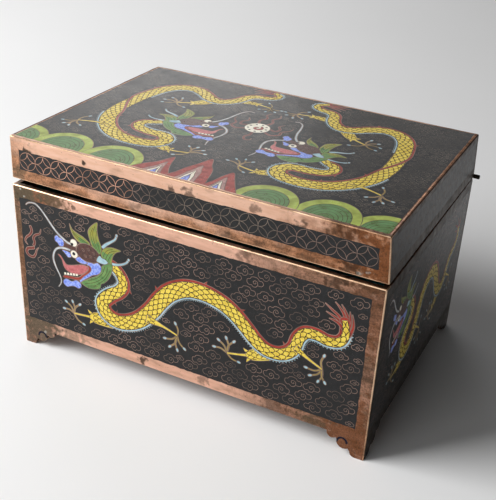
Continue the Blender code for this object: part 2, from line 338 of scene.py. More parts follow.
@dataclass
class Drawing:
    """A flat picture in millimetres: cells stacked from the ground up, and places that the clouds avoid."""

    wire_width: float = 0.3
    wire: Enamel = Enamel.WIRE
    pattern: list[tuple[Outline, Enamel]] = field(default_factory=list)
    figures: list[tuple[Outline, Enamel]] = field(default_factory=list)
    guards: list[tuple[float, float, float]] = field(default_factory=list)
    place: Matrix = field(default_factory=lambda: Matrix.Identity(3))

    def placed(self, outline: Iterable[Point]) -> Outline:
        """Return the outline moved, turned, scaled or mirrored as the drawing's place says."""
        return [tuple((self.place @ Vector((x, y, 1.0)))[:2]) for x, y in outline]

    def guard(self, points: Iterable[Point], radius: float) -> None:
        """Keep the ground pattern a radius away from the points."""
        self.guards += [(x, y, radius) for x, y in self.placed(points)]

    def fill(self, outline: Iterable[Point], enamel: Enamel) -> None:
        """Lay a cell with no wire round it."""
        self.figures.append((self.placed(outline), enamel))

    def cell(self, outline: Outline, enamel: Enamel, clear: float = 0.9) -> None:
        """Lay a cell of enamel with a wire round it.

        Args:
            outline: The middle line of its wire.
            enamel: What fills it.
            clear: How far the ground pattern stays from its wire.
        """
        outward = self.wire_width / 2 if signed_area(outline) < 0 else -self.wire_width / 2
        self.fill(shifted(outline, outward, closed=True), self.wire)
        self.fill(shifted(outline, -outward, closed=True), enamel)
        self.guard(outline, clear)

    def line(self, points: Sequence[Point], width: float, enamel: Enamel) -> None:
        """Lay a single wire along points."""
        self.fill(strip(points, width / 2, -width / 2), enamel)

    def add_pattern(self, points: Sequence[Point], width: float, enamel: Enamel) -> None:
        """Lay a wire of the ground pattern, below all figures."""
        self.pattern.append((strip(points, width / 2, -width / 2), enamel))


def placement(
    pivot: Point, target: Point, turn: float = 0.0, scale: float = 1.0, mirror: bool = False
) -> Matrix:
    """Work out where a motif goes.

    Args:
        pivot: A point of the motif.
        target: Where that point goes.
        turn: How far the motif turns about it, in degrees.
        scale: How much larger it becomes.
        mirror: Whether it is flipped left to right first.

    Returns:
        A matrix for points with a third coordinate of one.
    """
    lean = math.radians(turn)
    move = Matrix(((1, 0, target[0]), (0, 1, target[1]), (0, 0, 1)))
    rotate = Matrix(((math.cos(lean), -math.sin(lean), 0), (math.sin(lean), math.cos(lean), 0), (0, 0, 1)))
    stretch = Matrix(((-scale if mirror else scale, 0, 0), (0, scale, 0), (0, 0, 1)))
    return move @ rotate @ stretch @ Matrix(((1, 0, -pivot[0]), (0, 1, -pivot[1]), (0, 0, 1)))


@dataclass(frozen=True)
class CloudScroll:
    """The cloud wire of the ground: lobes all round, and one end curled into the middle."""

    half_width: float = 3.75
    half_height: float = 2.36
    path: Route = (
        (0.05, 0.0), (0.12, -0.16), (-0.02, -0.34), (-0.2, -0.2), (-0.2, 0.12), (0.02, 0.32),
        (0.24, 0.18), (0.33, -0.2), (0.26, -0.62), (0.06, -0.92), (-0.22, -0.93), (-0.4, -0.66),
        (-0.68, -0.76), (-0.95, -0.35), (-0.93, 0.25), (-0.6, 0.45), (-0.48, 0.82), (-0.1, 1.0),
        (0.3, 0.88), (0.5, 0.5), (0.82, 0.52), (1.0, 0.08), (0.84, -0.42), (0.52, -0.52), (0.38, -0.5),
    )

    def line(self, centre: Point, size: float, turn: float, mirror: bool, step: float) -> Outline:
        """Draw the wire's middle line.

        Args:
            centre: Where the motif's middle goes.
            size: Its scale.
            turn: How far it is turned, in degrees.
            mirror: Whether it is flipped.
            step: About how far apart the points are.

        Returns:
            The line.
        """
        place = placement((0, 0), centre, turn, size, mirror)
        points = [(x * self.half_width, y * self.half_height) for x, y in self.path]
        return [tuple((place @ Vector((x, y, 1)))[:2]) for x, y in smooth_line(points, step)]


@dataclass(frozen=True)
class CloudGround:
    """Cloud scrolls in staggered rows, with small ones where a figure leaves little room.

    Each one is shifted, leaned, flipped and scaled by chance. Where it doesn't fit, smaller sizes and the
    nudges to its place are tried in turn.
    """

    across: float = 9.3
    up: float = 4.85
    size: float = 1.0
    width: float = 0.2
    enamel: Enamel = Enamel.WIRE
    step: float = 0.42
    seed: int = 7
    shift: Point = (0.25, 0.15)
    lean: float = 7.0
    flipped: float = 0.12
    smallest: float = 0.93
    margin: Point = (0.3, 0.2)
    overlap: Point = (0.98, 0.94)
    sizes: tuple[float, ...] = (1.0, 0.84, 0.66, 0.5)
    nudges: Route = (
        (0, 0), (1.2, 0), (-1.2, 0), (0, 0.9), (0, -0.9), (2.4, 0.9), (-2.4, -0.9), (0, 1.8), (0, -1.8),
        (2.2, -1.2), (-2.2, 1.2),
    )

    def draw(self, drawing: Drawing, window: Bounds) -> None:
        """Fill the window of a drawing with scrolls.

        Args:
            drawing: The picture, with its figures already in it.
            window: Left, bottom, right and top of the field.
        """
        chance = random.Random(self.seed)
        scroll = CloudScroll()
        left, bottom, right, top = window
        rows = max(1, round((top - bottom) / (self.up * self.size)))
        columns = max(1, round((right - left) / (self.across * self.size)))
        row_pitch, column_pitch = (top - bottom) / rows, (right - left) / columns
        laid: list[tuple[float, float, float]] = []
        guards = np.array(drawing.guards)
        for row in range(rows):
            for column in range(columns + 1):
                x = left + (column + 0.5 * (row % 2)) * column_pitch
                x += chance.uniform(-self.shift[0], self.shift[0])
                y = bottom + (row + 0.5) * row_pitch + chance.uniform(-self.shift[1], self.shift[1])
                turn = chance.uniform(-self.lean, self.lean)
                mirror = chance.random() < self.flipped
                tries = (
                    (share * self.size, x + nudge[0] * self.size, y + nudge[1] * self.size)
                    for share in self.sizes
                    for nudge in self.nudges
                )
                for size, cx, cy in tries:
                    if self.is_free(cx, cy, size, scroll, guards, window, laid):
                        laid.append((cx, cy, size))
                        scale = size * chance.uniform(self.smallest, 1.0)
                        line = scroll.line((cx, cy), scale, turn, mirror, self.step)
                        drawing.add_pattern(line, self.width, self.enamel)
                        break

    def is_free(
        self,
        x: float,
        y: float,
        size: float,
        scroll: CloudScroll,
        guards: np.ndarray,
        window: Bounds,
        laid: list[tuple[float, float, float]],
    ) -> bool:
        """Tell whether a scroll at a place stays inside the window and clear of figures and other scrolls.

        Args:
            x: The scroll's middle.
            y: The scroll's middle.
            size: Its scale.
            scroll: The motif.
            guards: Points to keep clear of, each with its radius.
            window: Left, bottom, right and top of the field.
            laid: The scrolls already there, as middle and scale.

        Returns:
            True where it fits.
        """
        wide, high = scroll.half_width * size, scroll.half_height * size
        left, bottom, right, top = window
        side, end = self.margin
        if x - wide < left + side or x + wide > right - side:
            return False
        if y - high < bottom + end or y + high > top - end:
            return False
        guard_x, guard_y, reach = guards.T
        if np.any(((x - guard_x) / (wide + reach)) ** 2 + ((y - guard_y) / (high + reach)) ** 2 < 1):
            return False
        for ox, oy, other in laid:
            reach_x = wide + scroll.half_width * other
            reach_y = high + scroll.half_height * other
            if ((x - ox) / (self.overlap[0] * reach_x)) ** 2 + (
                (y - oy) / (self.overlap[1] * reach_y)
            ) ** 2 < 1:
                return False
        return True


@dataclass(frozen=True)
class Limb:
    """A dragon's leg: a scaled thigh, a thin shank, and a paw of toes with pale tips.

    A leg in front of the body is one tapered cell. One behind it has a thigh with a spur on each side.
    """

    root: Point
    knee: Point
    wrist: Point
    toes: Route
    root_half: float = 2.8
    in_front: bool = False

    def draw(self, drawing: Drawing) -> None:
        """Draw the leg, paw first.

        Args:
            drawing: The picture.
        """
        for toe in self.toes:
            self.draw_toe(drawing, toe)
        line = smooth_line([self.root, self.knee, self.wrist], 0.5)
        thick = self.root_half
        if self.in_front:
            knee = int(len(line) * 0.4)
            halves = [thick * 0.6, thick * 0.66, thick * 0.52, thick * 0.34, 0.62, 0.52, 0.46, 0.42, 0.42]
            drawing.cell(taper(line, halves), Enamel.YELLOW, 0.7)
            scaled = [thick * (0.62 - 0.2 * i / knee) for i in range(knee)]
        else:
            knee = int(len(line) * 0.58)
            drawing.cell(taper(line[knee - 2 :], [0.7, 0.5, 0.45, 0.42]), Enamel.YELLOW, 0.7)
            for side in (1, -1):
                edge = shifted(line, side * thick * 0.5)
                tip = shifted(line, side * (thick + 0.3))[knee + 1]
                drawing.cell([edge[knee - 5], tip, edge[knee]], Enamel.YELLOW, 0.5)
            halves = [thick, thick, thick, thick * 0.96, thick * 0.9, thick * 0.78, 0.8]
            drawing.cell(taper(line[: knee + 1], halves), Enamel.YELLOW)
            scaled = [thick * (0.9 - 0.3 * i / knee) for i in range(knee)]
        ScaleWires(pitch=1.9, row=2.0, width=0.3).draw(drawing, Spine(line[:knee], scaled))
        drawing.guard(line[:knee], thick * 0.6)
        drawing.guard(line[knee:], 0.8)

    def draw_toe(self, drawing: Drawing, tip: Point) -> None:
        """Draw one curved toe and its pale tip.

        Args:
            drawing: The picture.
            tip: Where the toe ends.
        """
        dx, dy = tip[0] - self.wrist[0], tip[1] - self.wrist[1]
        bend = 0.14 if dx * dy > 0 else -0.14
        middle = (self.wrist[0] + dx * 0.5 - dy * bend, self.wrist[1] + dy * 0.5 + dx * bend)
        line = smooth_line([self.wrist, middle, tip], 0.8)
        drawing.cell(taper(line, [0.3, 0.34, 0.34, 0.28]), Enamel.CLAW_YELLOW, 0.7)
        angle = math.degrees(math.atan2(tip[1] - middle[1], tip[0] - middle[0]))
        drawing.cell(ellipse(tip, 1.0, 0.6, angle, 12), Enamel.PALE_BLUE, 1.0)


@dataclass
class Spine:
    """A smooth line with a half width at each of its points."""

    line: Outline
    halves: list[float]

    def __post_init__(self) -> None:
        """Measure how far along each point lies."""
        self.along = [0.0]
        for a, b in zip(self.line, self.line[1:]):
            self.along.append(self.along[-1] + math.dist(a, b))
        self.left = normals_of(self.line)

    @property
    def length(self) -> float:
        """Return the line's length."""
        return self.along[-1]

    def locate(self, distance: float) -> tuple[int, float]:
        """Return the span that holds a distance along the line, and the share of the span before it.

        Args:
            distance: How far along the line.

        Returns:
            The span's number and the share.
        """
        distance = min(max(distance, 0.0), self.length - 1e-6)
        low, high = 0, len(self.along) - 1
        while high - low > 1:
            middle = (low + high) // 2
            if self.along[middle] <= distance:
                low = middle
            else:
                high = middle
        return low, (distance - self.along[low]) / (self.along[low + 1] - self.along[low])

    def half(self, distance: float) -> float:
        """Return the half width at a distance along the line."""
        low, share = self.locate(distance)
        return self.halves[low] + (self.halves[low + 1] - self.halves[low]) * share

    def point(self, distance: float, across: float) -> Point:
        """Return the point that lies across to the left of the line, a distance along it.

        Args:
            distance: How far along the line.
            across: How far to its left.

        Returns:
            The point.
        """
        low, share = self.locate(distance)
        base = [self.line[low][i] + (self.line[low + 1][i] - self.line[low][i]) * share for i in (0, 1)]
        side = [self.left[low][i] + (self.left[low + 1][i] - self.left[low][i]) * share for i in (0, 1)]
        return base[0] + side[0] * across, base[1] + side[1] * across

    def run(self, start: float, end: float, across: Callable[[float], float]) -> Outline:
        """Return a line that follows the spine between two distances.

        Args:
            start: The first distance.
            end: The last one.
            across: Gives how far to the left the line runs at a distance.

        Returns:
            The line, with points about 0.6 mm apart.
        """
        count = max(2, round(abs(end - start) / 0.6))
        distances = [start + (end - start) * i / count for i in range(count + 1)]
        return [self.point(d, across(d)) for d in distances]


@dataclass(frozen=True)
class ScaleWires:
    """Rows of scale wires: round edges that point to the tail, each row set between the scales before it."""

    pitch: float = 2.2
    row: float = 2.35
    width: float = 0.36
    steps: int = 5

    def draw(self, drawing: Drawing, spine: Spine) -> None:
        """Lay the wires over a scaled band.

        Args:
            drawing: The picture.
            spine: The band that they cover.
        """
        columns = int(spine.length / self.pitch)
        for column in range(columns):
            start = (column + 0.3) * self.pitch
            inside = spine.half(start) - drawing.wire_width / 2
            rows = int(inside / self.row) + 2
            for index in range(-rows, rows + 1):
                middle = (index + 0.5 * (column % 2)) * self.row
                if abs(middle) - self.row / 2 > inside - 0.15:
                    continue
                line = []
                for step in range(self.steps + 1):
                    angle = math.radians(-86 + 172 * step / self.steps)
                    across = middle + self.row / 2 * math.sin(angle)
                    along = start + self.pitch * 0.95 * math.cos(angle)
                    across = min(max(across, -inside), inside)
                    line.append(spine.point(along, across))
                drawing.line(line, self.width, Enamel.DARK_WIRE)


@dataclass(frozen=True)
class DragonBody:
    """A dragon's long body: yellow scales between a red fin and a pale belly edge, and hairs at its tail."""

    spine: Route
    halves: tuple[float, ...]
    fin: float = 1.15
    belly: float = 0.85
    spikes: tuple[float, ...] = ()
    twist: tuple[float, float] | None = None
    tail_hairs: tuple[Route, ...] = ()
    scales: ScaleWires = ScaleWires()
    tail_reach: float = 2.1
    tooth_pitch: float = 1.05

    def draw(self, drawing: Drawing) -> None:
        """Draw the tail hairs, both edges, the scales and their wires.

        Args:
            drawing: The picture.
        """
        line = smooth_line(self.spine, 0.6)
        halves = spread_widths(len(line), self.halves)
        spine = Spine(line, halves)
        end = spine.length
        if self.twist is None:
            self.draw_edges(drawing, spine, 0.0, end, 1)
        else:
            start_twist, end_twist = (share * end for share in self.twist)
            self.draw_edges(drawing, spine, 0.0, start_twist, 1)
            self.draw_edges(drawing, spine, end_twist, end, -1)
        for hair in self.tail_hairs:
            drawing.cell(taper(smooth_line(hair, 0.8), [0.75, 0.6, 0.42, 0.12]), Enamel.RED, 0.5)
        if self.tail_hairs:
            tail = ellipse(spine.point(end - 0.4, 0), self.tail_reach, self.tail_reach * 0.9, 0, 16)
            drawing.cell(tail, Enamel.RED, 0.5)
        back = spine.run(0, end, spine.half)
        drawing.cell(back + spine.run(end, 0, lambda d: -spine.half(d)), Enamel.YELLOW)
        self.scales.draw(drawing, spine)
        if self.twist is not None:
            self.draw_crossing(drawing, spine)
        for point, half in zip(line, halves):
            drawing.guard([point], half + 0.4)

    def draw_edges(self, drawing: Drawing, spine: Spine, start: float, end: float, side: int) -> None:
        """Draw the fin and the belly edge along one stretch.

        Args:
            drawing: The picture.
            spine: The body.
            start: Where the stretch starts, along the spine.
            end: Where it ends.
            side: 1 where the fin is on the left, -1 where it is on the right.
        """
        inner = spine.run(start, end, lambda d: side * spine.half(d))
        outer = spine.run(end, start, lambda d: side * (spine.half(d) + self.fin))
        share = [spike for spike in self.spikes if start < spike * spine.length < end]
        for spike in share:
            base = spike * spine.length
            root = side * (spine.half(base) + self.fin * 0.6)
            tip = side * (spine.half(base) + self.fin + 1.5)
            thorn = [spine.point(base, root), spine.point(base + 1.7, tip), spine.point(base + 1.5, root)]
            drawing.cell(thorn, Enamel.RED, 0.6)
        drawing.cell(inner + outer, Enamel.RED, 0.5)
        teeth = int((end - start) / self.tooth_pitch)
        for tooth in range(teeth):
            base = start + tooth * self.tooth_pitch
            low, high = spine.half(base) + self.belly * 0.7, spine.half(base) + self.belly + 0.6
            corners = ((0.0, low), (0.55, high), (0.85, low))
            drawing.fill(
                [spine.point(base + along, -side * out) for along, out in corners], Enamel.PALE_BLUE
            )
        inner = spine.run(start, end, lambda d: -side * spine.half(d))
        outer = spine.run(end, start, lambda d: -side * (spine.half(d) + self.belly))
        drawing.cell(inner + outer, Enamel.PALE_BLUE, 0.5)

    def draw_crossing(self, drawing: Drawing, spine: Spine) -> None:
        """Draw the fin where it crosses over the body from the left to the right.

        Args:
            drawing: The picture.
            spine: The body.
        """
        start, end = (share * spine.length for share in self.twist)

        def middle(distance: float) -> float:
            """Return how far left of the spine the fin's middle lies.

            Args:
                distance: How far along the spine.

            Returns:
                The distance to the left.
            """
            share = (distance - start) / (end - start)
            swing = math.cos(math.pi * min(max(share, 0.0), 1.0))
            return swing * (spine.half(distance) + self.fin / 2)

        line = spine.run(start - 0.5, end + 0.5, middle)
        drawing.cell(taper(line, [self.fin * 0.55] * 2), Enamel.RED, 0.5)


@dataclass(frozen=True)
class DragonHead:
    """A dragon's head in profile, facing left, with both eyes showing. Its sizes are in millimetres."""

    pivot: Point = (36.8, 55.8)
    mane: tuple[Route, ...] = (
        (
            (28.3, 67.5), (29.6, 65.2), (32.2, 63.9), (35.2, 62.8), (38.2, 60.6), (36.0, 59.6),
            (32.6, 60.0), (30.2, 61.8), (28.8, 64.6),
        ),
        (
            (42.2, 71.6), (42.0, 68.0), (42.6, 64.2), (43.8, 60.6), (43.4, 57.3), (41.0, 58.0),
            (39.0, 60.2), (37.8, 63.6), (37.5, 66.6), (39.3, 69.4),
        ),
        (
            (53.3, 61.7), (51.0, 60.2), (49.5, 58.2), (48.8, 56.0), (48.3, 53.6), (45.6, 54.2),
            (43.6, 56.4), (43.6, 58.4), (45.2, 60.6), (48.6, 62.0),
        ),
    )
    mane_roots: tuple[Route, ...] = (
        ((32.6, 62.2), (34.6, 61.9), (37.6, 60.5), (35.8, 59.9), (33.2, 60.2)),
        ((42.2, 63.0), (43.4, 60.2), (43.0, 57.7), (41.0, 58.3), (39.3, 60.6), (39.0, 63.2), (40.8, 61.4)),
        ((49.4, 59.4), (48.2, 56.2), (47.8, 54.2), (45.7, 54.6), (44.0, 56.6), (44.4, 59.0), (46.6, 58.2)),
    )
    mane_hairs: tuple[Route, ...] = (
        ((29.2, 65.6), (31.0, 63.0), (34.0, 61.6), (37.0, 60.4)),
        ((29.6, 63.9), (31.6, 61.8), (34.6, 60.7)),
        ((41.0, 69.6), (39.8, 66.0), (40.4, 62.0), (42.0, 58.6)),
        ((40.0, 68.6), (38.8, 65.6), (39.4, 62.0), (41.0, 59.2)),
        ((41.8, 67.6), (41.3, 64.0), (42.2, 60.6), (42.8, 58.2)),
        ((51.4, 61.2), (48.0, 59.6), (46.4, 57.4), (45.6, 55.4)),
        ((49.4, 61.4), (46.4, 59.8), (45.0, 57.6), (44.6, 56.2)),
        ((50.2, 60.0), (48.2, 58.0), (47.2, 56.0), (46.8, 54.8)),
    )
    beard: Route = (
        (32.6, 40.6), (35.2, 42.6), (38.6, 44.8), (41.4, 46.6), (43.2, 49.0), (43.6, 51.6), (45.6, 53.2),
        (48.8, 54.2), (48.6, 50.6), (47.0, 46.8), (44.6, 43.9), (43.0, 42.9), (42.4, 40.7), (39.6, 39.4),
        (36.0, 39.0),
    )
    beard_hairs: tuple[Route, ...] = (
        ((34.6, 40.6), (38.6, 42.2), (42.0, 44.4), (45.2, 48.0), (46.8, 52.4)),
        ((36.0, 39.9), (39.6, 41.1), (42.2, 43.2), (45.4, 46.4), (47.8, 51.0)),
        ((36.4, 42.6), (40.4, 44.8), (43.6, 48.0), (45.2, 52.0)),
        ((38.4, 40.0), (41.4, 41.6)),
    )
    jaw: Route = (
        (35.4, 50.9), (37.4, 52.3), (39.4, 51.7), (41.6, 52.7), (43.3, 51.0), (42.9, 48.6), (41.2, 46.9),
        (38.9, 45.9), (36.6, 44.1), (34.3, 42.3), (32.2, 40.4), (32.3, 42.6), (34.4, 44.9), (36.7, 46.9),
        (37.7, 48.6), (36.6, 49.9),
    )
    gum: Route = (
        (23.4, 40.4), (24.2, 41.6), (27.5, 42.1), (31.2, 42.7), (33.6, 44.6), (36.2, 47.1), (36.9, 48.6),
        (36.4, 50.1), (37.9, 49.6), (38.1, 47.9), (36.6, 46.1), (34.2, 43.9), (31.9, 41.5), (28.0, 40.9),
    )
    tongue: Route = (
        (21.2, 51.1), (22.7, 50.9), (24.2, 48.9), (25.7, 47.3), (28.2, 47.7), (31.2, 48.7), (34.0, 49.5),
        (36.4, 49.4), (36.9, 48.2), (35.4, 46.5), (33.4, 44.8), (31.0, 43.9), (27.6, 43.7), (25.1, 44.6),
        (23.9, 46.4), (23.4, 48.5), (22.5, 49.9),
    )
    chin: Route = (
        (23.4, 38.8), (25.0, 40.2), (27.8, 39.7), (30.1, 40.9), (32.3, 40.1), (32.7, 38.4), (31.2, 37.1),
        (29.2, 37.5), (27.4, 37.1), (25.2, 36.2), (23.5, 37.2),
    )
    snout: Route = (
        (24.0, 57.5), (27.2, 57.4), (30.6, 57.0), (32.0, 55.6), (30.0, 54.9), (27.0, 55.4), (24.2, 55.6)
    )
    nose: Route = (
        (20.2, 59.1), (21.4, 60.1), (22.7, 59.3), (24.2, 59.0), (24.9, 57.4), (24.4, 55.6), (22.6, 55.2),
        (21.6, 56.4), (20.3, 57.2),
    )
    lip: Route = (
        (23.7, 53.7), (26.2, 53.9), (28.3, 53.2), (28.2, 51.6), (26.6, 51.0), (25.2, 52.4)
    )
    cheek: Route = (
        (30.4, 51.3), (31.6, 52.6), (33.2, 52.9), (34.8, 51.9), (36.6, 51.3), (35.0, 50.1), (32.2, 50.2)
    )
    brow: Route = (
        (31.0, 56.1), (32.0, 58.5), (34.4, 59.9), (37.5, 60.1), (40.5, 58.9), (42.6, 56.7), (42.7, 54.3),
        (41.1, 52.6), (38.1, 51.8), (35.0, 51.9), (32.4, 53.1), (31.1, 54.6),
    )
    horn_root: Route = (
        (41.0, 53.6), (42.5, 56.4), (44.0, 55.7), (45.6, 55.4), (46.8, 54.2), (45.3, 53.0), (43.0, 52.9)
    )
    horns: tuple[Route, ...] = (
        ((44.4, 54.9), (48.0, 54.3), (51.2, 54.7), (53.8, 55.6), (55.9, 57.0), (56.9, 58.6)),
        ((44.3, 60.4), (46.0, 62.5), (48.6, 64.5), (50.6, 66.2), (51.4, 68.2)),
    )
    eyes: tuple[tuple[Point, float, Point], ...] = (
        ((29.9, 58.8), 1.75, (-0.9, -0.9)), ((29.8, 53.4), 1.85, (-0.1, 0.2)),
    )
    teeth: int = 5
    first_tooth: Point = (24.0, 41.9)
    curls: Route = (
        (34.6, 56.6), (37.2, 57.6), (39.8, 56.4), (35.6, 54.0), (38.2, 54.4), (40.6, 54.2)
    )

    def draw(self, drawing: Drawing) -> None:
        """Draw the head's cells from back to front.

        Args:
            drawing: The picture.
        """
        for horn in self.horns:
            drawing.cell(taper(smooth_line(horn, 0.8), [0.9, 0.72, 0.6, 0.5, 0.5]), Enamel.PALE_BLUE)
            drawing.cell(ellipse(horn[-1], 0.6, 0.7, 0, 12), Enamel.PALE_BLUE)
        for lock in self.mane:
            drawing.cell(smooth_line(lock, 0.7, closed=True), Enamel.OLIVE)
        for root in self.mane_roots:
            drawing.fill(smooth_line(root, 0.7, closed=True), Enamel.GREEN)
        drawing.cell(smooth_line(self.beard, 0.7, closed=True), Enamel.GREEN)
        for hair in self.mane_hairs + self.beard_hairs:
            drawing.line(smooth_line(hair, 0.7), 0.2, Enamel.DARK_WIRE)
        self.patch(drawing, self.jaw, Enamel.BLUE)
        self.patch(drawing, self.tongue, Enamel.PINK)
        self.patch(drawing, self.gum, Enamel.RED)
        self.draw_teeth(drawing)
        self.patch(drawing, self.chin, Enamel.BLUE)
        self.patch(drawing, self.snout, Enamel.BROWN)
        self.patch(drawing, self.lip, Enamel.BLUE)
        self.patch(drawing, self.cheek, Enamel.BLUE)
        self.patch(drawing, self.brow, Enamel.BROWN)
        for x, y in self.curls:
            drawing.line(spiral((x, y), 0.09, 0.9), 0.16, Enamel.WIRE)
        self.patch(drawing, self.nose, Enamel.BLUE)
        self.patch(drawing, self.horn_root, Enamel.PALE_BLUE)
        for centre, radius, gaze in self.eyes:
            self.draw_eye(drawing, centre, radius, gaze)

    def patch(self, drawing: Drawing, outline: Sequence[Point], enamel: Enamel) -> None:
        """Lay one smooth-edged cell."""
        drawing.cell(smooth_line(outline, 0.6, closed=True), enamel)

    def draw_teeth(self, drawing: Drawing) -> None:
        """Draw the lower teeth as a row of small cream cells.

        Args:
            drawing: The picture.
        """
        for tooth in range(self.teeth):
            x, y = self.first_tooth[0] + 1.5 * tooth, self.first_tooth[1] + 0.28 * tooth
            drawing.fill(
                [(x, y), (x + 1.25, y + 0.22), (x + 1.05, y + 1.25), (x + 0.15, y + 1.1)], Enamel.CREAM
            )

    def draw_eye(self, drawing: Drawing, centre: Point, radius: float, gaze: Point) -> None:
        """Draw a round eye with a dark pupil.

        Args:
            drawing: The picture.
            centre: The eye's middle.
            radius: Its half width.
            gaze: Where the pupil is, from the middle.
        """
        drawing.cell(ellipse(centre, radius, radius, 0, 18), Enamel.CREAM)
        pupil = (centre[0] + gaze[0], centre[1] + gaze[1])
        drawing.fill(ellipse(pupil, radius * 0.42, radius * 0.42, 0, 10), Enamel.BLACK)


@dataclass(frozen=True)
class Dragon:
    """A whole dragon: body, head, whiskers and four legs."""

    body: DragonBody
    limbs: tuple[Limb, ...]
    whiskers: tuple[Route, ...]
    head_at: Point = (36.8, 55.8)
    head_turn: float = 0.0
    head_scale: float = 1.0

    def draw(self, drawing: Drawing) -> None:
        """Draw the far legs, the body over them, then the near legs, whiskers and head.

        Args:
            drawing: The picture.
        """
        for limb in self.limbs:
            if not limb.in_front:
                limb.draw(drawing)
        self.body.draw(drawing)
        for limb in self.limbs:
            if limb.in_front:
                limb.draw(drawing)
        for whisker in self.whiskers:
            line = smooth_line(whisker, 0.7)
            drawing.cell(taper(line, [0.56, 0.54, 0.48, 0.4, 0.24]), Enamel.WHISKER, 0.8)
        outer = drawing.place
        head = DragonHead()
        drawing.place = outer @ placement(head.pivot, self.head_at, self.head_turn, self.head_scale)
        head.draw(drawing)
        drawing.place = outer


def flame(drawing: Drawing, points: Sequence[Point], half: float = 0.6) -> None:
    """Draw a lick of red flame along points."""
    drawing.cell(taper(smooth_line(points, 0.7), [half, half, half * 0.8, 0.15]), Enamel.DULL_RED, 0.6)


class Picture(Enum):
    """The pictures and patterns that the enamel fields carry."""

    LONG_DRAGON = "long_dragon"
    SHORT_DRAGON = "short_dragon"
    DRAGON_PAIR = "dragon_pair"
    COINS = "coins"


LONG_DRAGON = Dragon(
    body=DragonBody(
        spine=(
            (47.6, 53.6), (50.6, 52.3), (53.3, 49.0), (53.9, 45.5), (51.5, 42.0), (46.8, 38.6),
            (43.2, 34.0), (45.0, 29.2), (50.0, 26.9), (56.0, 28.0), (62.0, 31.5), (68.0, 38.0),
            (72.0, 44.0), (77.0, 49.5), (84.0, 53.2), (92.0, 53.8), (100.0, 51.8), (106.0, 48.3),
            (111.0, 43.8), (115.5, 39.5), (120.0, 37.0), (125.0, 36.8), (129.0, 38.5), (132.0, 42.0),
            (133.5, 47.0), (136.2, 50.3), (140.5, 50.8), (145.0, 49.8), (149.5, 50.8), (151.7, 54.2),
            (151.5, 58.0), (150.8, 61.0),
        ),
        halves=(1.9, 2.3, 2.9, 3.3, 3.3, 3.4, 3.5, 3.6, 3.5, 3.3, 3.1, 2.9, 2.6, 2.4, 2.2, 2.0, 1.1),
        spikes=(0.06, 0.115, 0.215, 0.4, 0.52, 0.61, 0.78),
        tail_hairs=(
            ((151.0, 57.0), (149.0, 61.5), (145.5, 64.0), (142.5, 66.0)),
            ((151.0, 57.0), (149.0, 60.0), (146.0, 61.6), (143.2, 62.6)),
            ((150.6, 57.0), (148.8, 58.9), (146.6, 59.8), (144.6, 60.0)),
            ((151.6, 57.6), (150.6, 62.6), (148.6, 65.6), (146.4, 67.7)),
            ((151.8, 57.6), (152.2, 61.6), (150.6, 65.0), (148.9, 67.4)),
            ((152.9, 54.4), (154.0, 57.5), (154.3, 60.4), (153.4, 64.4)),
            ((152.2, 57.0), (153.0, 60.0), (152.8, 62.6), (152.4, 65.4)),
        ),
    ),
    limbs=(
        Limb(
            (48.0, 25.8), (38.4, 24.8), (28.0, 23.7),
            ((23.0, 24.6), (24.2, 28.5), (27.6, 29.5), (31.4, 29.1), (33.0, 19.6)), 3.3,
        ),
        Limb(
            (65.0, 33.4), (73.4, 31.9), (80.0, 29.8),
            ((79.0, 35.4), (74.0, 26.6), (76.4, 23.3), (80.0, 22.7), (83.4, 24.4)), 3.0, True,
        ),
        Limb(
            (123.0, 36.4), (112.6, 31.8), (103.0, 29.5),
            ((97.2, 30.6), (99.1, 34.5), (102.5, 36.5), (106.0, 35.9), (108.5, 26.9)), 3.0,
        ),
        Limb(
            (132.0, 42.6), (138.0, 39.2), (144.0, 36.4),
            ((144.3, 42.8), (137.3, 35.0), (139.3, 32.0), (142.8, 30.4), (145.6, 30.7)), 2.3, True,
        ),
    ),
    whiskers=(
        (
            (29.6, 57.7), (26.8, 58.1), (24.4, 59.4), (22.0, 61.0), (20.0, 63.0), (17.5, 66.0),
            (15.4, 68.6), (13.4, 70.6), (11.4, 71.9), (9.4, 72.0), (7.4, 71.4), (6.3, 70.3),
        ),
        (
            (28.0, 54.9), (25.2, 54.9), (22.5, 54.4), (20.5, 53.1), (19.3, 51.0), (18.8, 48.5),
            (19.3, 46.0), (20.3, 43.5), (21.6, 41.0), (22.3, 38.9), (22.0, 36.9), (20.6, 34.8),
        ),
    ),
)

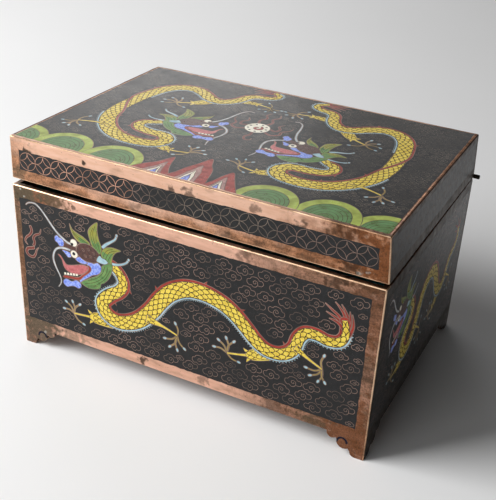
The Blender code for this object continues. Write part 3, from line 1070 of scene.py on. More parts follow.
SHORT_DRAGON = Dragon(
    body=DragonBody(
        spine=(
            (35.8, 54.6), (38.6, 53.0), (40.6, 50.0), (40.4, 46.6), (37.6, 43.4), (34.0, 40.2), (32.4, 36.0),
            (34.2, 31.6), (38.6, 29.8), (43.4, 31.2), (47.2, 35.2), (50.0, 41.0), (52.8, 47.6), (57.4, 52.4),
            (63.6, 54.2), (69.2, 52.0), (73.0, 46.6), (76.0, 41.0), (80.2, 37.0), (85.2, 36.6), (88.8, 39.6),
            (90.6, 44.4), (93.4, 48.0), (97.4, 49.4), (100.6, 51.8), (101.4, 55.4), (100.4, 58.8),
        ),
        halves=(1.7, 2.1, 2.6, 2.9, 3.0, 3.1, 3.1, 3.0, 2.9, 2.7, 2.4, 2.1, 1.7, 1.1),
        spikes=(0.08, 0.2, 0.4, 0.55, 0.66, 0.82),
        tail_hairs=(
            ((100.8, 55.6), (98.6, 59.4), (95.8, 61.4), (93.4, 63.0)),
            ((100.6, 55.6), (98.4, 57.8), (96.0, 58.6), (94.0, 59.0)),
            ((101.2, 56.0), (100.2, 60.6), (98.6, 63.2), (97.0, 64.8)),
            ((101.6, 56.0), (102.2, 60.0), (101.2, 62.8), (100.2, 64.6)),
        ),
    ),
    limbs=(
        Limb(
            (36.6, 29.2), (29.6, 26.8), (22.4, 25.8),
            ((17.6, 26.4), (18.6, 30.0), (22.0, 31.4), (25.6, 30.8), (26.6, 22.0)), 2.4,
        ),
        Limb(
            (45.6, 37.0), (51.6, 33.8), (56.6, 30.4),
            ((57.4, 35.6), (51.0, 28.0), (53.4, 24.8), (57.0, 24.2), (60.4, 25.8)), 2.4, True,
        ),
        Limb(
            (80.0, 34.8), (74.4, 31.2), (68.8, 29.4),
            ((64.0, 30.6), (65.4, 34.2), (68.6, 36.0), (71.6, 35.0), (73.2, 25.8)), 2.4,
        ),
        Limb(
            (88.0, 41.0), (93.4, 38.0), (98.0, 35.2),
            ((99.2, 40.4), (92.4, 32.8), (94.6, 29.8), (98.0, 28.6), (101.4, 29.8)), 2.0, True,
        ),
    ),
    whiskers=(
        ((21.6, 58.4), (18.4, 59.4), (15.8, 61.6), (13.6, 64.6), (11.6, 67.6), (9.2, 69.2), (6.6, 68.6)),
        ((20.2, 55.8), (16.6, 55.4), (13.8, 53.4), (12.8, 50.0), (13.8, 46.4), (15.2, 43.4), (15.0, 40.4)),
    ),
    head_at=(27.2, 56.6),
    head_scale=0.8,
)

LID_DRAGON = Dragon(
    body=DragonBody(
        spine=(
            (117.6, 50.0), (121.2, 46.6), (125.0, 44.4), (126.2, 40.6), (123.5, 37.2), (117.5, 35.7),
            (111.4, 35.6), (107.9, 33.0), (107.3, 29.2), (110.2, 25.4), (117.0, 23.7), (125.0, 24.5),
            (130.5, 27.0), (135.5, 31.0), (140.0, 37.0), (143.0, 44.0), (144.6, 54.0), (144.4, 65.0),
            (143.4, 75.0), (140.8, 85.0), (136.0, 91.4), (129.0, 93.4), (122.4, 90.4), (117.0, 86.2),
            (111.6, 84.9), (107.0, 88.0), (104.4, 92.6), (103.0, 97.4), (100.0, 100.4), (95.0, 101.6),
            (91.6, 104.0), (91.4, 107.4), (95.2, 110.2),
        ),
        halves=(
            1.8, 2.2, 2.7, 3.1, 3.3, 3.5, 3.6, 3.6, 3.5, 3.4, 3.4, 3.4, 3.4, 3.3, 3.2, 3.0, 2.7, 2.3,
            1.8, 1.2,
        ),
        fin=0.95,
        belly=0.8,
        spikes=(0.07, 0.18, 0.3, 0.42, 0.62, 0.72, 0.8),
        twist=(0.44, 0.57),
        tail_hairs=(
            ((94.6, 108.6), (97.6, 110.4), (100.6, 110.6), (103.6, 111.6)),
            ((94.8, 108.2), (98.4, 108.6), (101.4, 107.6), (104.6, 107.0)),
            ((94.8, 108.2), (98.2, 106.8), (101.0, 105.8), (103.2, 104.6)),
            ((94.8, 108.6), (98.8, 109.6), (102.6, 109.4), (106.4, 109.6)),
        ),
    ),
    limbs=(
        Limb(
            (109.4, 27.4), (101.4, 23.4), (92.4, 25.0),
            ((86.4, 27.2), (88.8, 30.2), (92.2, 31.8), (95.8, 31.0), (97.0, 20.2)), 2.6,
        ),
        Limb(
            (135.6, 31.6), (142.0, 32.4), (150.2, 29.8),
            ((148.5, 36.5), (155.8, 26.8), (153.0, 23.8), (149.8, 22.9), (145.8, 25.4)), 2.0, True,
        ),
        Limb(
            (114.6, 82.6), (120.0, 76.8), (127.2, 73.0),
            ((127.6, 79.2), (131.6, 77.2), (133.6, 73.4), (132.8, 69.8), (121.2, 69.2)), 2.8,
        ),
        Limb(
            (103.6, 90.6), (96.4, 91.6), (87.8, 90.4),
            ((91.2, 95.8), (82.2, 90.0), (84.2, 86.8), (88.0, 85.0), (91.8, 86.4)), 2.2,
        ),
    ),
    whiskers=(
        ((101.6, 60.2), (99.4, 63.6), (97.8, 68.6), (96.9, 74.0), (95.6, 78.8), (93.4, 81.2), (91.2, 80.8)),
        (
            (98.2, 58.9), (94.8, 58.0), (92.2, 56.0), (90.6, 53.0), (90.6, 49.0), (91.8, 44.4),
            (92.2, 40.0), (91.2, 35.8),
        ),
    ),
    head_at=(109.0, 55.2),
    head_turn=-18.0,
    head_scale=0.97,
)


@dataclass(frozen=True)
class Shore:
    """The lid's front edge: green hills with ringed cores, and three red rocks between them."""

    hills: tuple[tuple[float, float], ...] = (
        (2.0, 15.0), (162.0, 15.0), (23.5, 16.5), (139.5, 16.2), (47.5, 16.2), (115.0, 15.2)
    )
    hill_half: float = 13.0
    band: float = 3.7
    rings: int = 5
    rocks: tuple[Route, ...] = (
        (
            (57.4, 1.0), (60.6, 6.6), (63.8, 10.6), (65.6, 14.6), (67.6, 18.4), (69.6, 12.4),
            (71.2, 7.8), (73.2, 4.0), (74.6, 1.0),
        ),
        (
            (72.6, 1.0), (75.0, 6.6), (76.2, 12.0), (78.4, 17.6), (81.0, 24.8), (84.2, 18.6),
            (86.6, 14.8), (88.4, 8.4), (90.4, 1.0),
        ),
        ((89.0, 1.0), (90.8, 6.2), (92.0, 12.0), (94.2, 17.8), (97.4, 12.6), (100.6, 6.8), (104.0, 1.0)),
    )

    def draw(self, drawing: Drawing) -> None:
        """Draw the hills, then the rocks over them.

        Args:
            drawing: The picture.
        """
        for x, top in self.hills:
            self.draw_hill(drawing, x, top)
        for rock in self.rocks:
            self.draw_rock(drawing, rock)

    def draw_hill(self, drawing: Drawing, x: float, top: float) -> None:
        """Draw one hill: a pale band over a dark core with rings of wire.

        Args:
            drawing: The picture.
            x: The hill's middle.
            top: How high it is.
        """
        arch = self.arch(x, self.hill_half, top)
        drawing.cell(
            arch + [(x - self.hill_half - 2.5, -1.0), (x + self.hill_half + 2.5, -1.0)],
            Enamel.HILL_LIGHT,
        )
        half, height = self.hill_half - self.band, top - self.band
        drawing.cell(
            self.arch(x, half, height) + [(x - half - 0.6, -1.0), (x + half + 0.6, -1.0)],
            Enamel.HILL_DARK,
        )
        for ring in range(1, self.rings + 1):
            share = 1 - ring / (self.rings + 1)
            drawing.line(self.arch(x, half * share, height * share), 0.2, Enamel.DARK_WIRE)
        drawing.guard([(x, top * 0.3), (x, top * 0.6)], self.hill_half * 0.7)

    def arch(self, x: float, half: float, top: float) -> Outline:
        """Return a round arch from its right foot over its top to its left foot.

        Args:
            x: Its middle.
            half: Its half width.
            top: How high it is.

        Returns:
            The arch.
        """
        steps = 22
        angles = [math.pi * k / steps for k in range(steps + 1)]
        return [(x + half * math.cos(angle), 0.4 + top * math.sin(angle) ** 0.9) for angle in angles]

    def draw_rock(self, drawing: Drawing, rock: Sequence[Point]) -> None:
        """Draw one rock: red, then grey, cream and blue cores inside each other.

        Args:
            drawing: The picture.
            rock: The rock's outline above the edge.
        """
        outline = smooth_line([*rock, (rock[-1][0], -1.0), (rock[0][0], -1.0)], 1.6, closed=True)
        drawing.cell(outline, Enamel.RED)
        peak = max(rock, key=lambda p: p[1])
        for share, enamel in ((0.62, Enamel.ROCK_GREY), (0.42, Enamel.CREAM), (0.27, Enamel.BLUE)):
            core = [((x - peak[0]) * share * 0.8 + peak[0], y * share * 1.12) for x, y in outline]
            drawing.cell(core, enamel)
        drawing.line([(peak[0], 0.5), (peak[0], peak[1] * 0.42)], 0.22, Enamel.DARK_WIRE)


@dataclass(frozen=True)
class FlamingPearl:
    """The pearl between two dragons, dotted, with a spiral at its heart and flames round it."""

    centre: Point = (80.5, 65.0)
    radius: float = 5.6
    dots: int = 9
    dot_ring: float = 4.1
    side_flames: tuple[Route, ...] = (
        ((2.0, 5.4), (3.0, 9.0), (1.4, 12.6), (3.2, 16.0), (2.2, 19.4)),
        ((5.4, 1.6), (8.2, 0.4), (9.2, 3.6), (7.4, 6.4), (8.8, 9.6)),
        ((5.0, -3.0), (8.4, -4.6), (11.4, -2.4), (11.0, 1.2), (13.4, 4.4), (13.8, 7.4)),
    )
    low_flame: Route = (
        (0.2, -5.2), (0.8, -8.6), (-0.4, -11.6), (1.2, -14.6), (3.4, -14.0), (3.2, -12.0)
    )

    def draw(self, drawing: Drawing) -> None:
        """Draw the flames, then the pearl.

        Args:
            drawing: The picture.
        """
        cx, cy = self.centre
        for side in (-1, 1):
            for points in self.side_flames:
                flame(drawing, [(cx + side * x, cy + y) for x, y in points])
        flame(drawing, [(cx + x, cy + y) for x, y in self.low_flame])
        drawing.cell(ellipse(self.centre, self.radius, self.radius, 0, 32), Enamel.CREAM)
        for dot in range(self.dots):
            angle = math.tau * dot / self.dots
            spot = (cx + self.dot_ring * math.cos(angle), cy + self.dot_ring * math.sin(angle))
            drawing.fill(ellipse(spot, 0.62, 0.48, 0, 8), Enamel.BLACK)
        curl = smooth_line(spiral(self.centre, 0.24, 0.75), 0.5)
        drawing.cell(taper(curl, [0.4, 0.6, 0.75, 0.3]), Enamel.RED)


@dataclass(frozen=True)
class CoinBand:
    """A row of coins: rings that just meet, each round a diamond with hollow sides."""

    radius: float = 3.95
    pitch: float = 7.8
    bright: float = 0.36
    dim: tuple[float, float] = (0.42, 0.76)
    width: float = 0.22
    tip: float = 0.92

    def draw(self, drawing: Drawing, window: Bounds, enamel: Enamel) -> None:
        """Draw the coins along the middle of a window.

        Args:
            drawing: The picture.
            window: Left, bottom, right and top of the band.
            enamel: The metal that their wires are drawn in.
        """
        left, bottom, right, top = window
        radius = min(self.radius, (top - bottom) / 2 - 0.3)
        count = max(1, round((right - left - 2 * radius) / self.pitch))
        middle = (bottom + top) / 2
        for coin in range(count + 1):
            share = coin / count
            centre = (left + 0.4 + radius + share * (right - left - 0.8 - 2 * radius), middle)
            metal = Enamel.BRIGHT_WIRE if share < self.bright else enamel
            if 0 < self.bright and self.dim[0] < share < self.dim[1]:
                metal = Enamel.GREY_WIRE
            ring = ellipse(centre, radius, radius, 0, 28)
            drawing.line([*ring, ring[0], ring[1]], self.width, metal)
            for quarter in range(4):
                drawing.line(self.side(centre, radius, quarter), self.width, metal)

    def side(self, centre: Point, radius: float, quarter: int) -> Outline:
        """Return one hollow side of the diamond.

        Args:
            centre: The coin's middle.
            radius: Its half width.
            quarter: Which side, from 0 to 3.

        Returns:
            The side.
        """
        reach = radius * self.tip
        turn = math.pi / 2 * quarter
        line = []
        for step in range(9):
            angle = math.pi + math.pi / 2 * step / 8
            x, y = reach + reach * math.cos(angle), reach + reach * math.sin(angle)
            line.append(turned(centre, x, y, turn))
        return line


class Side(Enum):
    """A side of the box seen from outside, as the directions of its right, its up and its outside."""

    FRONT = ((1, 0, 0), (0, 0, 1), (0, -1, 0))
    RIGHT = ((0, 1, 0), (0, 0, 1), (1, 0, 0))
    BACK = ((-1, 0, 0), (0, 0, 1), (0, 1, 0))
    LEFT = ((0, -1, 0), (0, 0, 1), (-1, 0, 0))
    TOP = ((1, 0, 0), (0, 1, 0), (0, 0, 1))


class Sheet:
    """The node tree of one material, with short ways to add nodes."""

    def __init__(self, name: str) -> None:
        """Make an empty material with a Principled shader on its output.

        Args:
            name: The material's name.
        """
        self.material = bpy.data.materials.new(name)
        self.material.use_nodes = True
        self.tree = self.material.node_tree
        self.shader = self.tree.nodes["Principled BSDF"]
        self.place = self.add("ShaderNodeTexCoord").outputs["Object"]

    def add(
        self, kind: str, inputs: dict[str | int, object] | None = None, **settings: object
    ) -> bpy.types.Node:
        """Add a node.

        Args:
            kind: Its type name.
            inputs: Values or sockets for its inputs, by name or number.
            **settings: Properties to set on it.

        Returns:
            The node.
        """
        node = self.tree.nodes.new(kind)
        for name, value in settings.items():
            setattr(node, name, value)
        for name, value in (inputs or {}).items():
            if isinstance(value, Socket):
                self.tree.links.new(value, node.inputs[name])
            else:
                node.inputs[name].default_value = value
        return node

    def noise(
        self, scale: float, detail: float = 3.0, stretch: tuple[float, float, float] = (1, 1, 1)
    ) -> Socket:
        """Return soft noise from 0 to 1, with features about one over scale metres across."""
        mapped = self.add("ShaderNodeMapping", {"Vector": self.place, "Scale": stretch}).outputs[0]
        return self.add(
            "ShaderNodeTexNoise", {"Vector": mapped, "Scale": scale, "Detail": detail}
        ).outputs[0]

    def spread(
        self, value: Socket, low: float, high: float, to_low: float = 0.0, to_high: float = 1.0
    ) -> Socket:
        """Return a value stretched from one range to another and held inside it."""
        inputs = {"Value": value, "From Min": low, "From Max": high, "To Min": to_low, "To Max": to_high}
        return self.add("ShaderNodeMapRange", inputs).outputs[0]

    def math(self, operation: str, a: object, b: object = 0.0) -> Socket:
        """Return the result of a sum on one or two values."""
        return self.add("ShaderNodeMath", {0: a, 1: b}, operation=operation).outputs[0]

    def length(self, a: Socket, b: Socket) -> Socket:
        """Return the root of the sum of two squares."""
        return self.math("SQRT", self.math("ADD", self.math("MULTIPLY", a, a), self.math("MULTIPLY", b, b)))

    def blend(self, share: object, a: object, b: object) -> Socket:
        """Return colour a mixed with colour b by a share from 0 to 1.

        Args:
            share: How much of colour b.
            a: A colour or socket.
            b: Another.

        Returns:
            The mixed colour.
        """
        node = self.add("ShaderNodeMix", data_type="RGBA")
        for slot, value in ((0, share), (6, a), (7, b)):
            if isinstance(value, Socket):
                self.tree.links.new(value, node.inputs[slot])
            elif slot == 0:
                node.inputs[slot].default_value = value
            else:
                node.inputs[slot].default_value = (*value, 1.0)
        return node.outputs[2]

    def bump(
        self, height: Socket, distance: float, strength: float = 1.0, below: Socket | None = None
    ) -> Socket:
        """Return a normal that follows a height, on top of another normal if one is given.

        Args:
            height: The height.
            distance: How far the highest place stands out, in metres.
            strength: How strongly it shows.
            below: The normal that it lies on.

        Returns:
            The normal.
        """
        inputs: dict[str | int, object] = {"Height": height, "Distance": distance, "Strength": strength}
        if below is not None:
            inputs["Normal"] = below
        return self.add("ShaderNodeBump", inputs).outputs[0]

    def plug(self, name: str, value: object) -> None:
        """Set or link one input of the shader.

        Args:
            name: The input's name.
            value: A value or a socket.
        """
        if isinstance(value, Socket):
            self.tree.links.new(value, self.shader.inputs[name])
        else:
            self.shader.inputs[name].default_value = value


def enamel_material(enamel: Enamel) -> bpy.types.Material:
    """Make the material of one enamel, or find it if it is there.

    Args:
        enamel: Which enamel.

    Returns:
        Its material.
    """
    name = f"enamel_{enamel.name.lower()}"
    if name in bpy.data.materials:
        return bpy.data.materials[name]
    finish = enamel.value
    sheet = Sheet(name)
    colour = finish.colour
    cloudy = sheet.spread(sheet.noise(finish.grain, 4), 0.36, 0.66)
    toned = sheet.blend(cloudy, colour, finish.second)
    grains = sheet.noise(2600, 2)
    pale = sheet.spread(grains, 0.63, 0.74, 0.0, 0.55 * finish.specks)
    speckled = sheet.blend(pale, toned, tuple(0.6 * c + 0.06 for c in colour))
    pits = sheet.spread(sheet.noise(1500, 2), 0.3, 0.22, 0.0, 0.8 * finish.specks)
    pitted = sheet.blend(pits, speckled, tuple(c * 0.35 for c in colour))
    sheet.plug("Base Color", pitted)
    sheet.plug("Metallic", finish.metallic)
    sheet.plug("Specular IOR Level", finish.gloss)
    sheet.plug("Roughness", sheet.spread(cloudy, 0, 1, finish.roughness - 0.03, finish.roughness + 0.06))
    waves = sheet.bump(sheet.noise(160, 2), 0.00003, 0.5)
    sheet.plug("Normal", sheet.bump(sheet.math("SUBTRACT", grains, pits), 0.00003, 0.6, waves))
    return sheet.material


@dataclass(frozen=True)
class Stain:
    """A ragged patch on the copper: its middle on the box and its reach in millimetres, and its colour."""

    x: float
    y: float
    z: float
    reach: float
    colour: Colour
    strength: float = 0.85


GRIME = srgb(52, 44, 36)
PATINA = srgb(100, 88, 70)
BRONZE = srgb(122, 70, 36)
ASH = srgb(112, 98, 86)
# Pale grey-white specks; the two at the body's top-left corner are a painted highlight.
PALE_SPECK = srgb(196, 194, 184)


@dataclass(frozen=True)
class CopperFinish:
    """Worn copper: pale pink where it is rubbed, with a painted highlight over the same patch, brown where
    it isn't, with stains and pits.

    The body's copper also has a small arch on each foot's front, placed from the side and the floor: a thin
    dark line of painted shade, as in a groove, with a dip in the bump.
    """

    name: str
    polished_and_highlit: Colour = srgb(232, 184, 160)
    worn: Colour = srgb(180, 134, 110)
    brown: Colour = srgb(116, 88, 68)
    rubbed_highlight_at: tuple[float, float, float] = (65.0, 0.0, 76.0)
    rubbed_highlight_reach: Point = (44.0, 400.0)
    stains: tuple[Stain, ...] = ()
    roughness: float = 0.34
    arches: bool = False
    arch_at: Point = (10.2, 5.6)
    arch_radius: float = 2.0

    def material(self) -> bpy.types.Material:
        """Make the material, or find it if it is there.

        Returns:
            The material.
        """
        if self.name in bpy.data.materials:
            return bpy.data.materials[self.name]
        sheet = Sheet(self.name)
        # Round this middle the copper is pale pink: rubbed, with a painted highlight over it.
        heart = box_point(*self.rubbed_highlight_at)
        apart = sheet.add("ShaderNodeSeparateXYZ", {0: sheet.place})
        across, up = (
            sheet.math(
                "MULTIPLY", sheet.math("SUBTRACT", apart.outputs[axis], heart[axis]), 1 / (reach * MM)
            )
            for axis, reach in zip((0, 2), self.rubbed_highlight_reach)
        )
        away = sheet.length(across, up)
        ragged = sheet.math("ADD", away, sheet.spread(sheet.noise(70, 5), 0.25, 0.75, -0.32, 0.32))
        dull = sheet.spread(ragged, 0.8, 1.15)
        fine = sheet.noise(620, 4, (0.2, 1, 1))
        bright = sheet.blend(sheet.spread(fine, 0.35, 0.75, 0, 0.45), self.polished_and_highlit, self.worn)
        browned = sheet.spread(sheet.noise(330, 10, (0.45, 1, 1)), 0.38, 0.66)
        colour = sheet.blend(dull, bright, sheet.blend(browned, self.worn, self.brown))
        streaks = sheet.spread(sheet.noise(260, 10, (0.3, 1, 1)), 0.55, 0.7, 0, 0.45)
        colour = sheet.blend(streaks, colour, self.brown)
        for stain in self.stains:
            colour = self.add_stain(sheet, colour, stain)
        grain = sheet.math("MULTIPLY", dull, sheet.spread(sheet.noise(1500, 3), 0.42, 0.66, 0, 0.5))
        colour = sheet.blend(grain, colour, GRIME)
        pits = sheet.spread(sheet.noise(900, 3), 0.33, 0.24)
        colour = sheet.blend(sheet.math("MULTIPLY", pits, 0.75), colour, GRIME)
        height = sheet.math("SUBTRACT", fine, pits)
        if self.arches:
            cut = self.foot_arch(sheet, apart)
            # Paint the arch dark blue-grey, as the shade in a groove, and dip the bump along it.
            colour = sheet.blend(cut, colour, srgb(30, 32, 48))
            height = sheet.math("SUBTRACT", height, sheet.math("MULTIPLY", cut, 4.0))
        sheet.plug("Base Color", colour)
        sheet.plug("Metallic", 0.9)
        smoothest, roughest = self.roughness - 0.06, self.roughness + 0.12
        sheet.plug("Roughness", sheet.spread(sheet.noise(300, 4), 0.3, 0.7, smoothest, roughest))
        dents = sheet.bump(sheet.noise(120, 3), 0.00025, 0.5)
        sheet.plug("Normal", sheet.bump(height, 0.00005, 0.6, dents))
        return sheet.material

    def add_stain(self, sheet: Sheet, colour: Socket, stain: Stain) -> Socket:
        """Return the colour with one stain over it.

        Args:
            sheet: The material's sheet.
            colour: The colour below.
            stain: The stain.

        Returns:
            The colour with the stain.
        """
        spot = box_point(stain.x, stain.y, stain.z)
        apart = sheet.add("ShaderNodeVectorMath", {0: sheet.place, 1: spot}, operation="DISTANCE")
        reach = apart.outputs["Value"]
        rough = stain.reach * MM * 0.7
        ragged = sheet.math("ADD", reach, sheet.spread(sheet.noise(420, 8), 0.3, 0.7, -rough, rough))
        share = sheet.spread(ragged, stain.reach * MM, stain.reach * MM * 0.5, 0, stain.strength)
        return sheet.blend(share, colour, stain.colour)

    def foot_arch(self, sheet: Sheet, apart: bpy.types.Node) -> Socket:
        """Return 1 along the arch on each foot's front, which is painted dark as the shade in a groove, and
        0 elsewhere.

        Args:
            sheet: The material's sheet.
            apart: The node that parts a place into its axes.

        Returns:
            The share.
        """
        side = sheet.math("SUBTRACT", apart.outputs[0], box_point(BODY_WIDTH / 2, 0, 0).x)
        inward = sheet.math("SUBTRACT", BODY_WIDTH / 2 * MM, sheet.math("ABSOLUTE", side))
        across = sheet.math("SUBTRACT", inward, self.arch_at[0] * MM)
        up = sheet.math("SUBTRACT", apart.outputs[2], self.arch_at[1] * MM)
        reach = sheet.math("SUBTRACT", sheet.length(across, up), self.arch_radius * MM)
        ring = sheet.spread(sheet.math("ABSOLUTE", reach), 0.55 * MM, 0.35 * MM)
        return sheet.math("MULTIPLY", ring, sheet.spread(up, -0.5 * MM, -0.1 * MM))


@dataclass(frozen=True)
class PlainFinish:
    """A quiet surface with soft mottling: the lining, the underside or the pin."""

    name: str
    colour: Colour
    second: Colour
    metallic: float
    roughness: float
    mottle: float = 200.0
    relief: float = 0.00008

    def material(self) -> bpy.types.Material:
        """Make the material.

        Returns:
            The material.
        """
        sheet = Sheet(self.name)
        cloudy = sheet.noise(self.mottle, 4)
        sheet.plug("Base Color", sheet.blend(sheet.spread(cloudy, 0.35, 0.68), self.colour, self.second))
        sheet.plug("Metallic", self.metallic)
        sheet.plug("Roughness", sheet.spread(cloudy, 0.3, 0.7, self.roughness - 0.05, self.roughness + 0.08))
        sheet.plug("Normal", sheet.bump(sheet.noise(self.mottle * 4, 3), self.relief, 0.6))
        return sheet.material


WHISKER_FLAMES: tuple[tuple[float, Route], ...] = (
    (0.55, ((7.6, 60.8), (8.3, 58.4), (7.0, 56.2), (5.2, 54.6), (4.4, 52.6), (5.6, 51.2))),
    (
        0.65,
        (
            (9.0, 50.6), (7.2, 49.9), (5.4, 49.2), (4.7, 47.4), (5.8, 46.0), (8.0, 45.8), (9.4, 47.6),
            (10.2, 49.8), (11.4, 51.2),
        ),
    ),
    (0.55, ((8.6, 51.4), (9.4, 53.2), (8.9, 55.2), (10.2, 57.0), (12.4, 58.2), (13.2, 60.6))),
)
MIRRORED_LID = placement((0, 0), (162.4, 0), mirror=True)


@dataclass
class EnamelField:
    """One enamel panel of the box, with its picture let into it as faces of its own colour."""

    node: str
    body: str
    side: Side
    window: Bounds
    picture: Picture
    rim: CopperFinish
    slot: str = "black_enamel"
    mirror: bool = False
    lap: float = 0.28
    fray_step: float = 1.6
    fray: Point = (-0.1, 0.22)

    def draw(self) -> Drawing:
        """Draw the field's picture in millimetres.

        Returns:
            The drawing.
        """
        drawing = Drawing()
        left, _, right, _ = self.window
        if self.mirror:
            drawing.place = placement((0, 0), (left + right, 0), mirror=True)
        if self.picture is Picture.COINS:
            coins = CoinBand() if self.side is Side.FRONT else CoinBand(bright=-1.0, width=0.2)
            # On the left and right bands the coin wires are drawn in the dark wire, a shaded copy of the
            # copper wire, as painted shade of the sides.
            shaded_side = self.side in (Side.LEFT, Side.RIGHT)
            coins.draw(drawing, self.window, Enamel.DARK_WIRE if shaded_side else Enamel.WIRE)
        elif self.picture is Picture.LONG_DRAGON:
            for half, points in WHISKER_FLAMES:
                flame(drawing, points, half)
            LONG_DRAGON.draw(drawing)
            CloudGround().draw(drawing, self.window)
        elif self.picture is Picture.SHORT_DRAGON:
            SHORT_DRAGON.draw(drawing)
            CloudGround(seed=11).draw(drawing, self.window)
        else:
            self.draw_lid_top(drawing)
        return drawing

    def draw_lid_top(self, drawing: Drawing) -> None:
        """Draw two dragons face to face over the shore, with the pearl between them.

        Args:
            drawing: The picture.
        """
        Shore().draw(drawing)
        FlamingPearl().draw(drawing)
        LID_DRAGON.draw(drawing)
        drawing.place = MIRRORED_LID
        LID_DRAGON.draw(drawing)
        drawing.place = Matrix.Identity(3)
        small = CloudGround(
            across=8.15, up=4.9, size=0.61, width=0.17, enamel=Enamel.GREY_WIRE, step=0.9, seed=3
        )
        small.draw(drawing, self.window)

    def frayed_edges(self, bounds: Bounds) -> list[Outline]:
        """Return the four uneven strips of copper that the enamel stops at.

        Args:
            bounds: Left, bottom, right and top of the panel.

        Returns:
            Their outlines.
        """
        chance = random.Random(self.node)
        left, bottom, right, top = bounds
        corners = [(left, bottom), (right, bottom), (right, top), (left, top)]
        strips = []
        for start, end in zip(corners, corners[1:] + corners[:1]):
            count = round(math.dist(start, end) / self.fray_step)
            across, up = end[0] - start[0], end[1] - start[1]
            line = [(start[0] + across * k / count, start[1] + up * k / count) for k in range(count + 1)]
            inner = shifted(line, [self.lap + chance.uniform(*self.fray) for _ in line])
            strips.append(line + inner[::-1])
        return strips

    def corner(self, right: int, up: int, out: int) -> Vector:
        """Return the CAD panel's corner that lies furthest the ways that the signs say.

        Args:
            right: 1 for the right, -1 for the left.
            up: 1 for the top, -1 for the bottom.
            out: 1 for the outside, -1 for the inside.

        Returns:
            The corner.
        """
        axes = [Vector(axis) for axis in self.side.value]
        way = axes[0] * right + axes[1] * up + axes[2] * out
        return max((vertex.co.copy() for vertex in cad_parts[self.node].data.vertices), key=way.dot)

    def build(self) -> bpy.types.Object:
        """Make the panel: its front cut into cells, its rim and its back.

        Returns:
            The finished piece.
        """
        left, bottom, right, top = self.window
        low_x, low_y, high_x, high_y = left - self.lap, bottom - self.lap, right + self.lap, top + self.lap
        drawing = self.draw()
        cells = [([(low_x, low_y), (high_x, low_y), (high_x, high_y), (low_x, high_y)], Enamel.BLACK)]
        cells += drawing.pattern + drawing.figures
        cells += [(edge, Enamel.SHELL) for edge in self.frayed_edges((low_x, low_y, high_x, high_y))]
        points, edges = [], []
        for outline, _ in cells:
            first, count = len(points), len(outline)
            edges += [(first + k, first + (k + 1) % count) for k in range(count)]
            points += [Vector(point) for point in outline]
        flat, _, triangles, *_ = delaunay_2d_cdt(points, edges, [], 0, 1e-5, False)
        middles = np.array([point.to_tuple() for point in flat])[np.array(triangles)].mean(axis=1)
        owners = cells_on_top(middles, [outline for outline, _ in cells])

        palette = sorted({enamel for _, enamel in cells}, key=lambda e: list(Enamel).index(e))
        outer = [[self.corner(x, y, 1) for x in (-1, 1)] for y in (-1, 1)]
        inner = [[self.corner(x, y, -1) for x in (-1, 1)] for y in (-1, 1)]

        def lift(corners: list[list[Vector]], point: Vector) -> Vector:
            """Return the place of a point of the drawing on the surface between four corners.

            Args:
                corners: The corners, in two rows.
                point: The point.

            Returns:
                The place, in metres.
            """
            across, up = (point.x - left) / (right - left), (point.y - bottom) / (top - bottom)
            low = corners[0][0].lerp(corners[0][1], across)
            return low.lerp(corners[1][0].lerp(corners[1][1], across), up)

        bm = bmesh.new()
        verts = [bm.verts.new(lift(outer, point)) for point in flat]
        spot = {vert: point for vert, point in zip(verts, flat)}
        for triangle, middle, owner in zip(triangles, middles, owners):
            if not (low_x < middle[0] < high_x and low_y < middle[1] < high_y):
                continue
            face = bm.faces.new([verts[i] for i in triangle])
            face.material_index = palette.index(cells[owner][1])
        bmesh.ops.delete(bm, geom=[vert for vert in bm.verts if not vert.link_faces], context="VERTS")
        swept = bmesh.ops.extrude_edge_only(bm, edges=[edge for edge in bm.edges if edge.is_boundary])
        for vert in (item for item in swept["geom"] if isinstance(item, bmesh.types.BMVert)):
            twin = next(edge.other_vert(vert) for edge in vert.link_edges if edge.other_vert(vert) in spot)
            vert.co = lift(inner, spot[twin])
        bmesh.ops.contextual_create(bm, geom=[edge for edge in bm.edges if edge.is_boundary])
        bmesh.ops.recalc_face_normals(bm, faces=bm.faces)
        mesh = bpy.data.meshes.new(self.node + "_picture")
        bm.to_mesh(mesh)
        bm.free()
        self.unwrap(mesh)
        for enamel in palette:
            mesh.materials.append(self.rim.material() if enamel is Enamel.SHELL else enamel_material(enamel))
        piece = bpy.data.objects.new(self.node + "_picture", mesh)
        bpy.context.scene.collection.objects.link(piece)
        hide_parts(self.node)
        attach(piece, self.body)
        log.info("%s: %d cells, %d faces", piece.name, len(cells), len(mesh.polygons))
        return piece

    def unwrap(self, mesh: bpy.types.Mesh) -> None:
        """Lay the front over most of the texture, and the rim and back along its lower edge.

        Args:
            mesh: The panel's mesh.
        """
        axes = np.array(self.side.value, dtype=float)
        places = np.empty(len(mesh.vertices) * 3)
        mesh.vertices.foreach_get("co", places)
        places = places.reshape(-1, 3) @ axes.T
        low, span = places.min(axis=0), np.ptp(places, axis=0)
        corners = np.empty(len(mesh.loops), dtype=np.int32)
        mesh.loops.foreach_get("vertex_index", corners)
        sizes = np.empty(len(mesh.polygons), dtype=np.int32)
        mesh.polygons.foreach_get("loop_total", sizes)
        normals = np.empty(len(mesh.polygons) * 3)
        mesh.polygons.foreach_get("normal", normals)
        facing = normals.reshape(-1, 3) @ axes[2] > 0.5
        shares = (places[corners, :2] - low[:2]) / span[:2]
        in_front = np.repeat(facing, sizes)[:, None]
        uvs = np.where(in_front, shares * (0.98, 0.94) + (0.01, 0.05), shares * (0.98, 0.02) + (0.01, 0.01))
        mesh.uv_layers.new(name="OFBake").data.foreach_set("uv", uvs.ravel())


class Surface(Enum):
    """The surfaces of a copper shell, in the order of its finishes."""

    FRONT = 0
    SIDE = 1
    EDGE = 2
    LINING = 3
    UNDERSIDE = 4
    DULL_EDGE = 5


FLOOR_LEVEL = 11.0


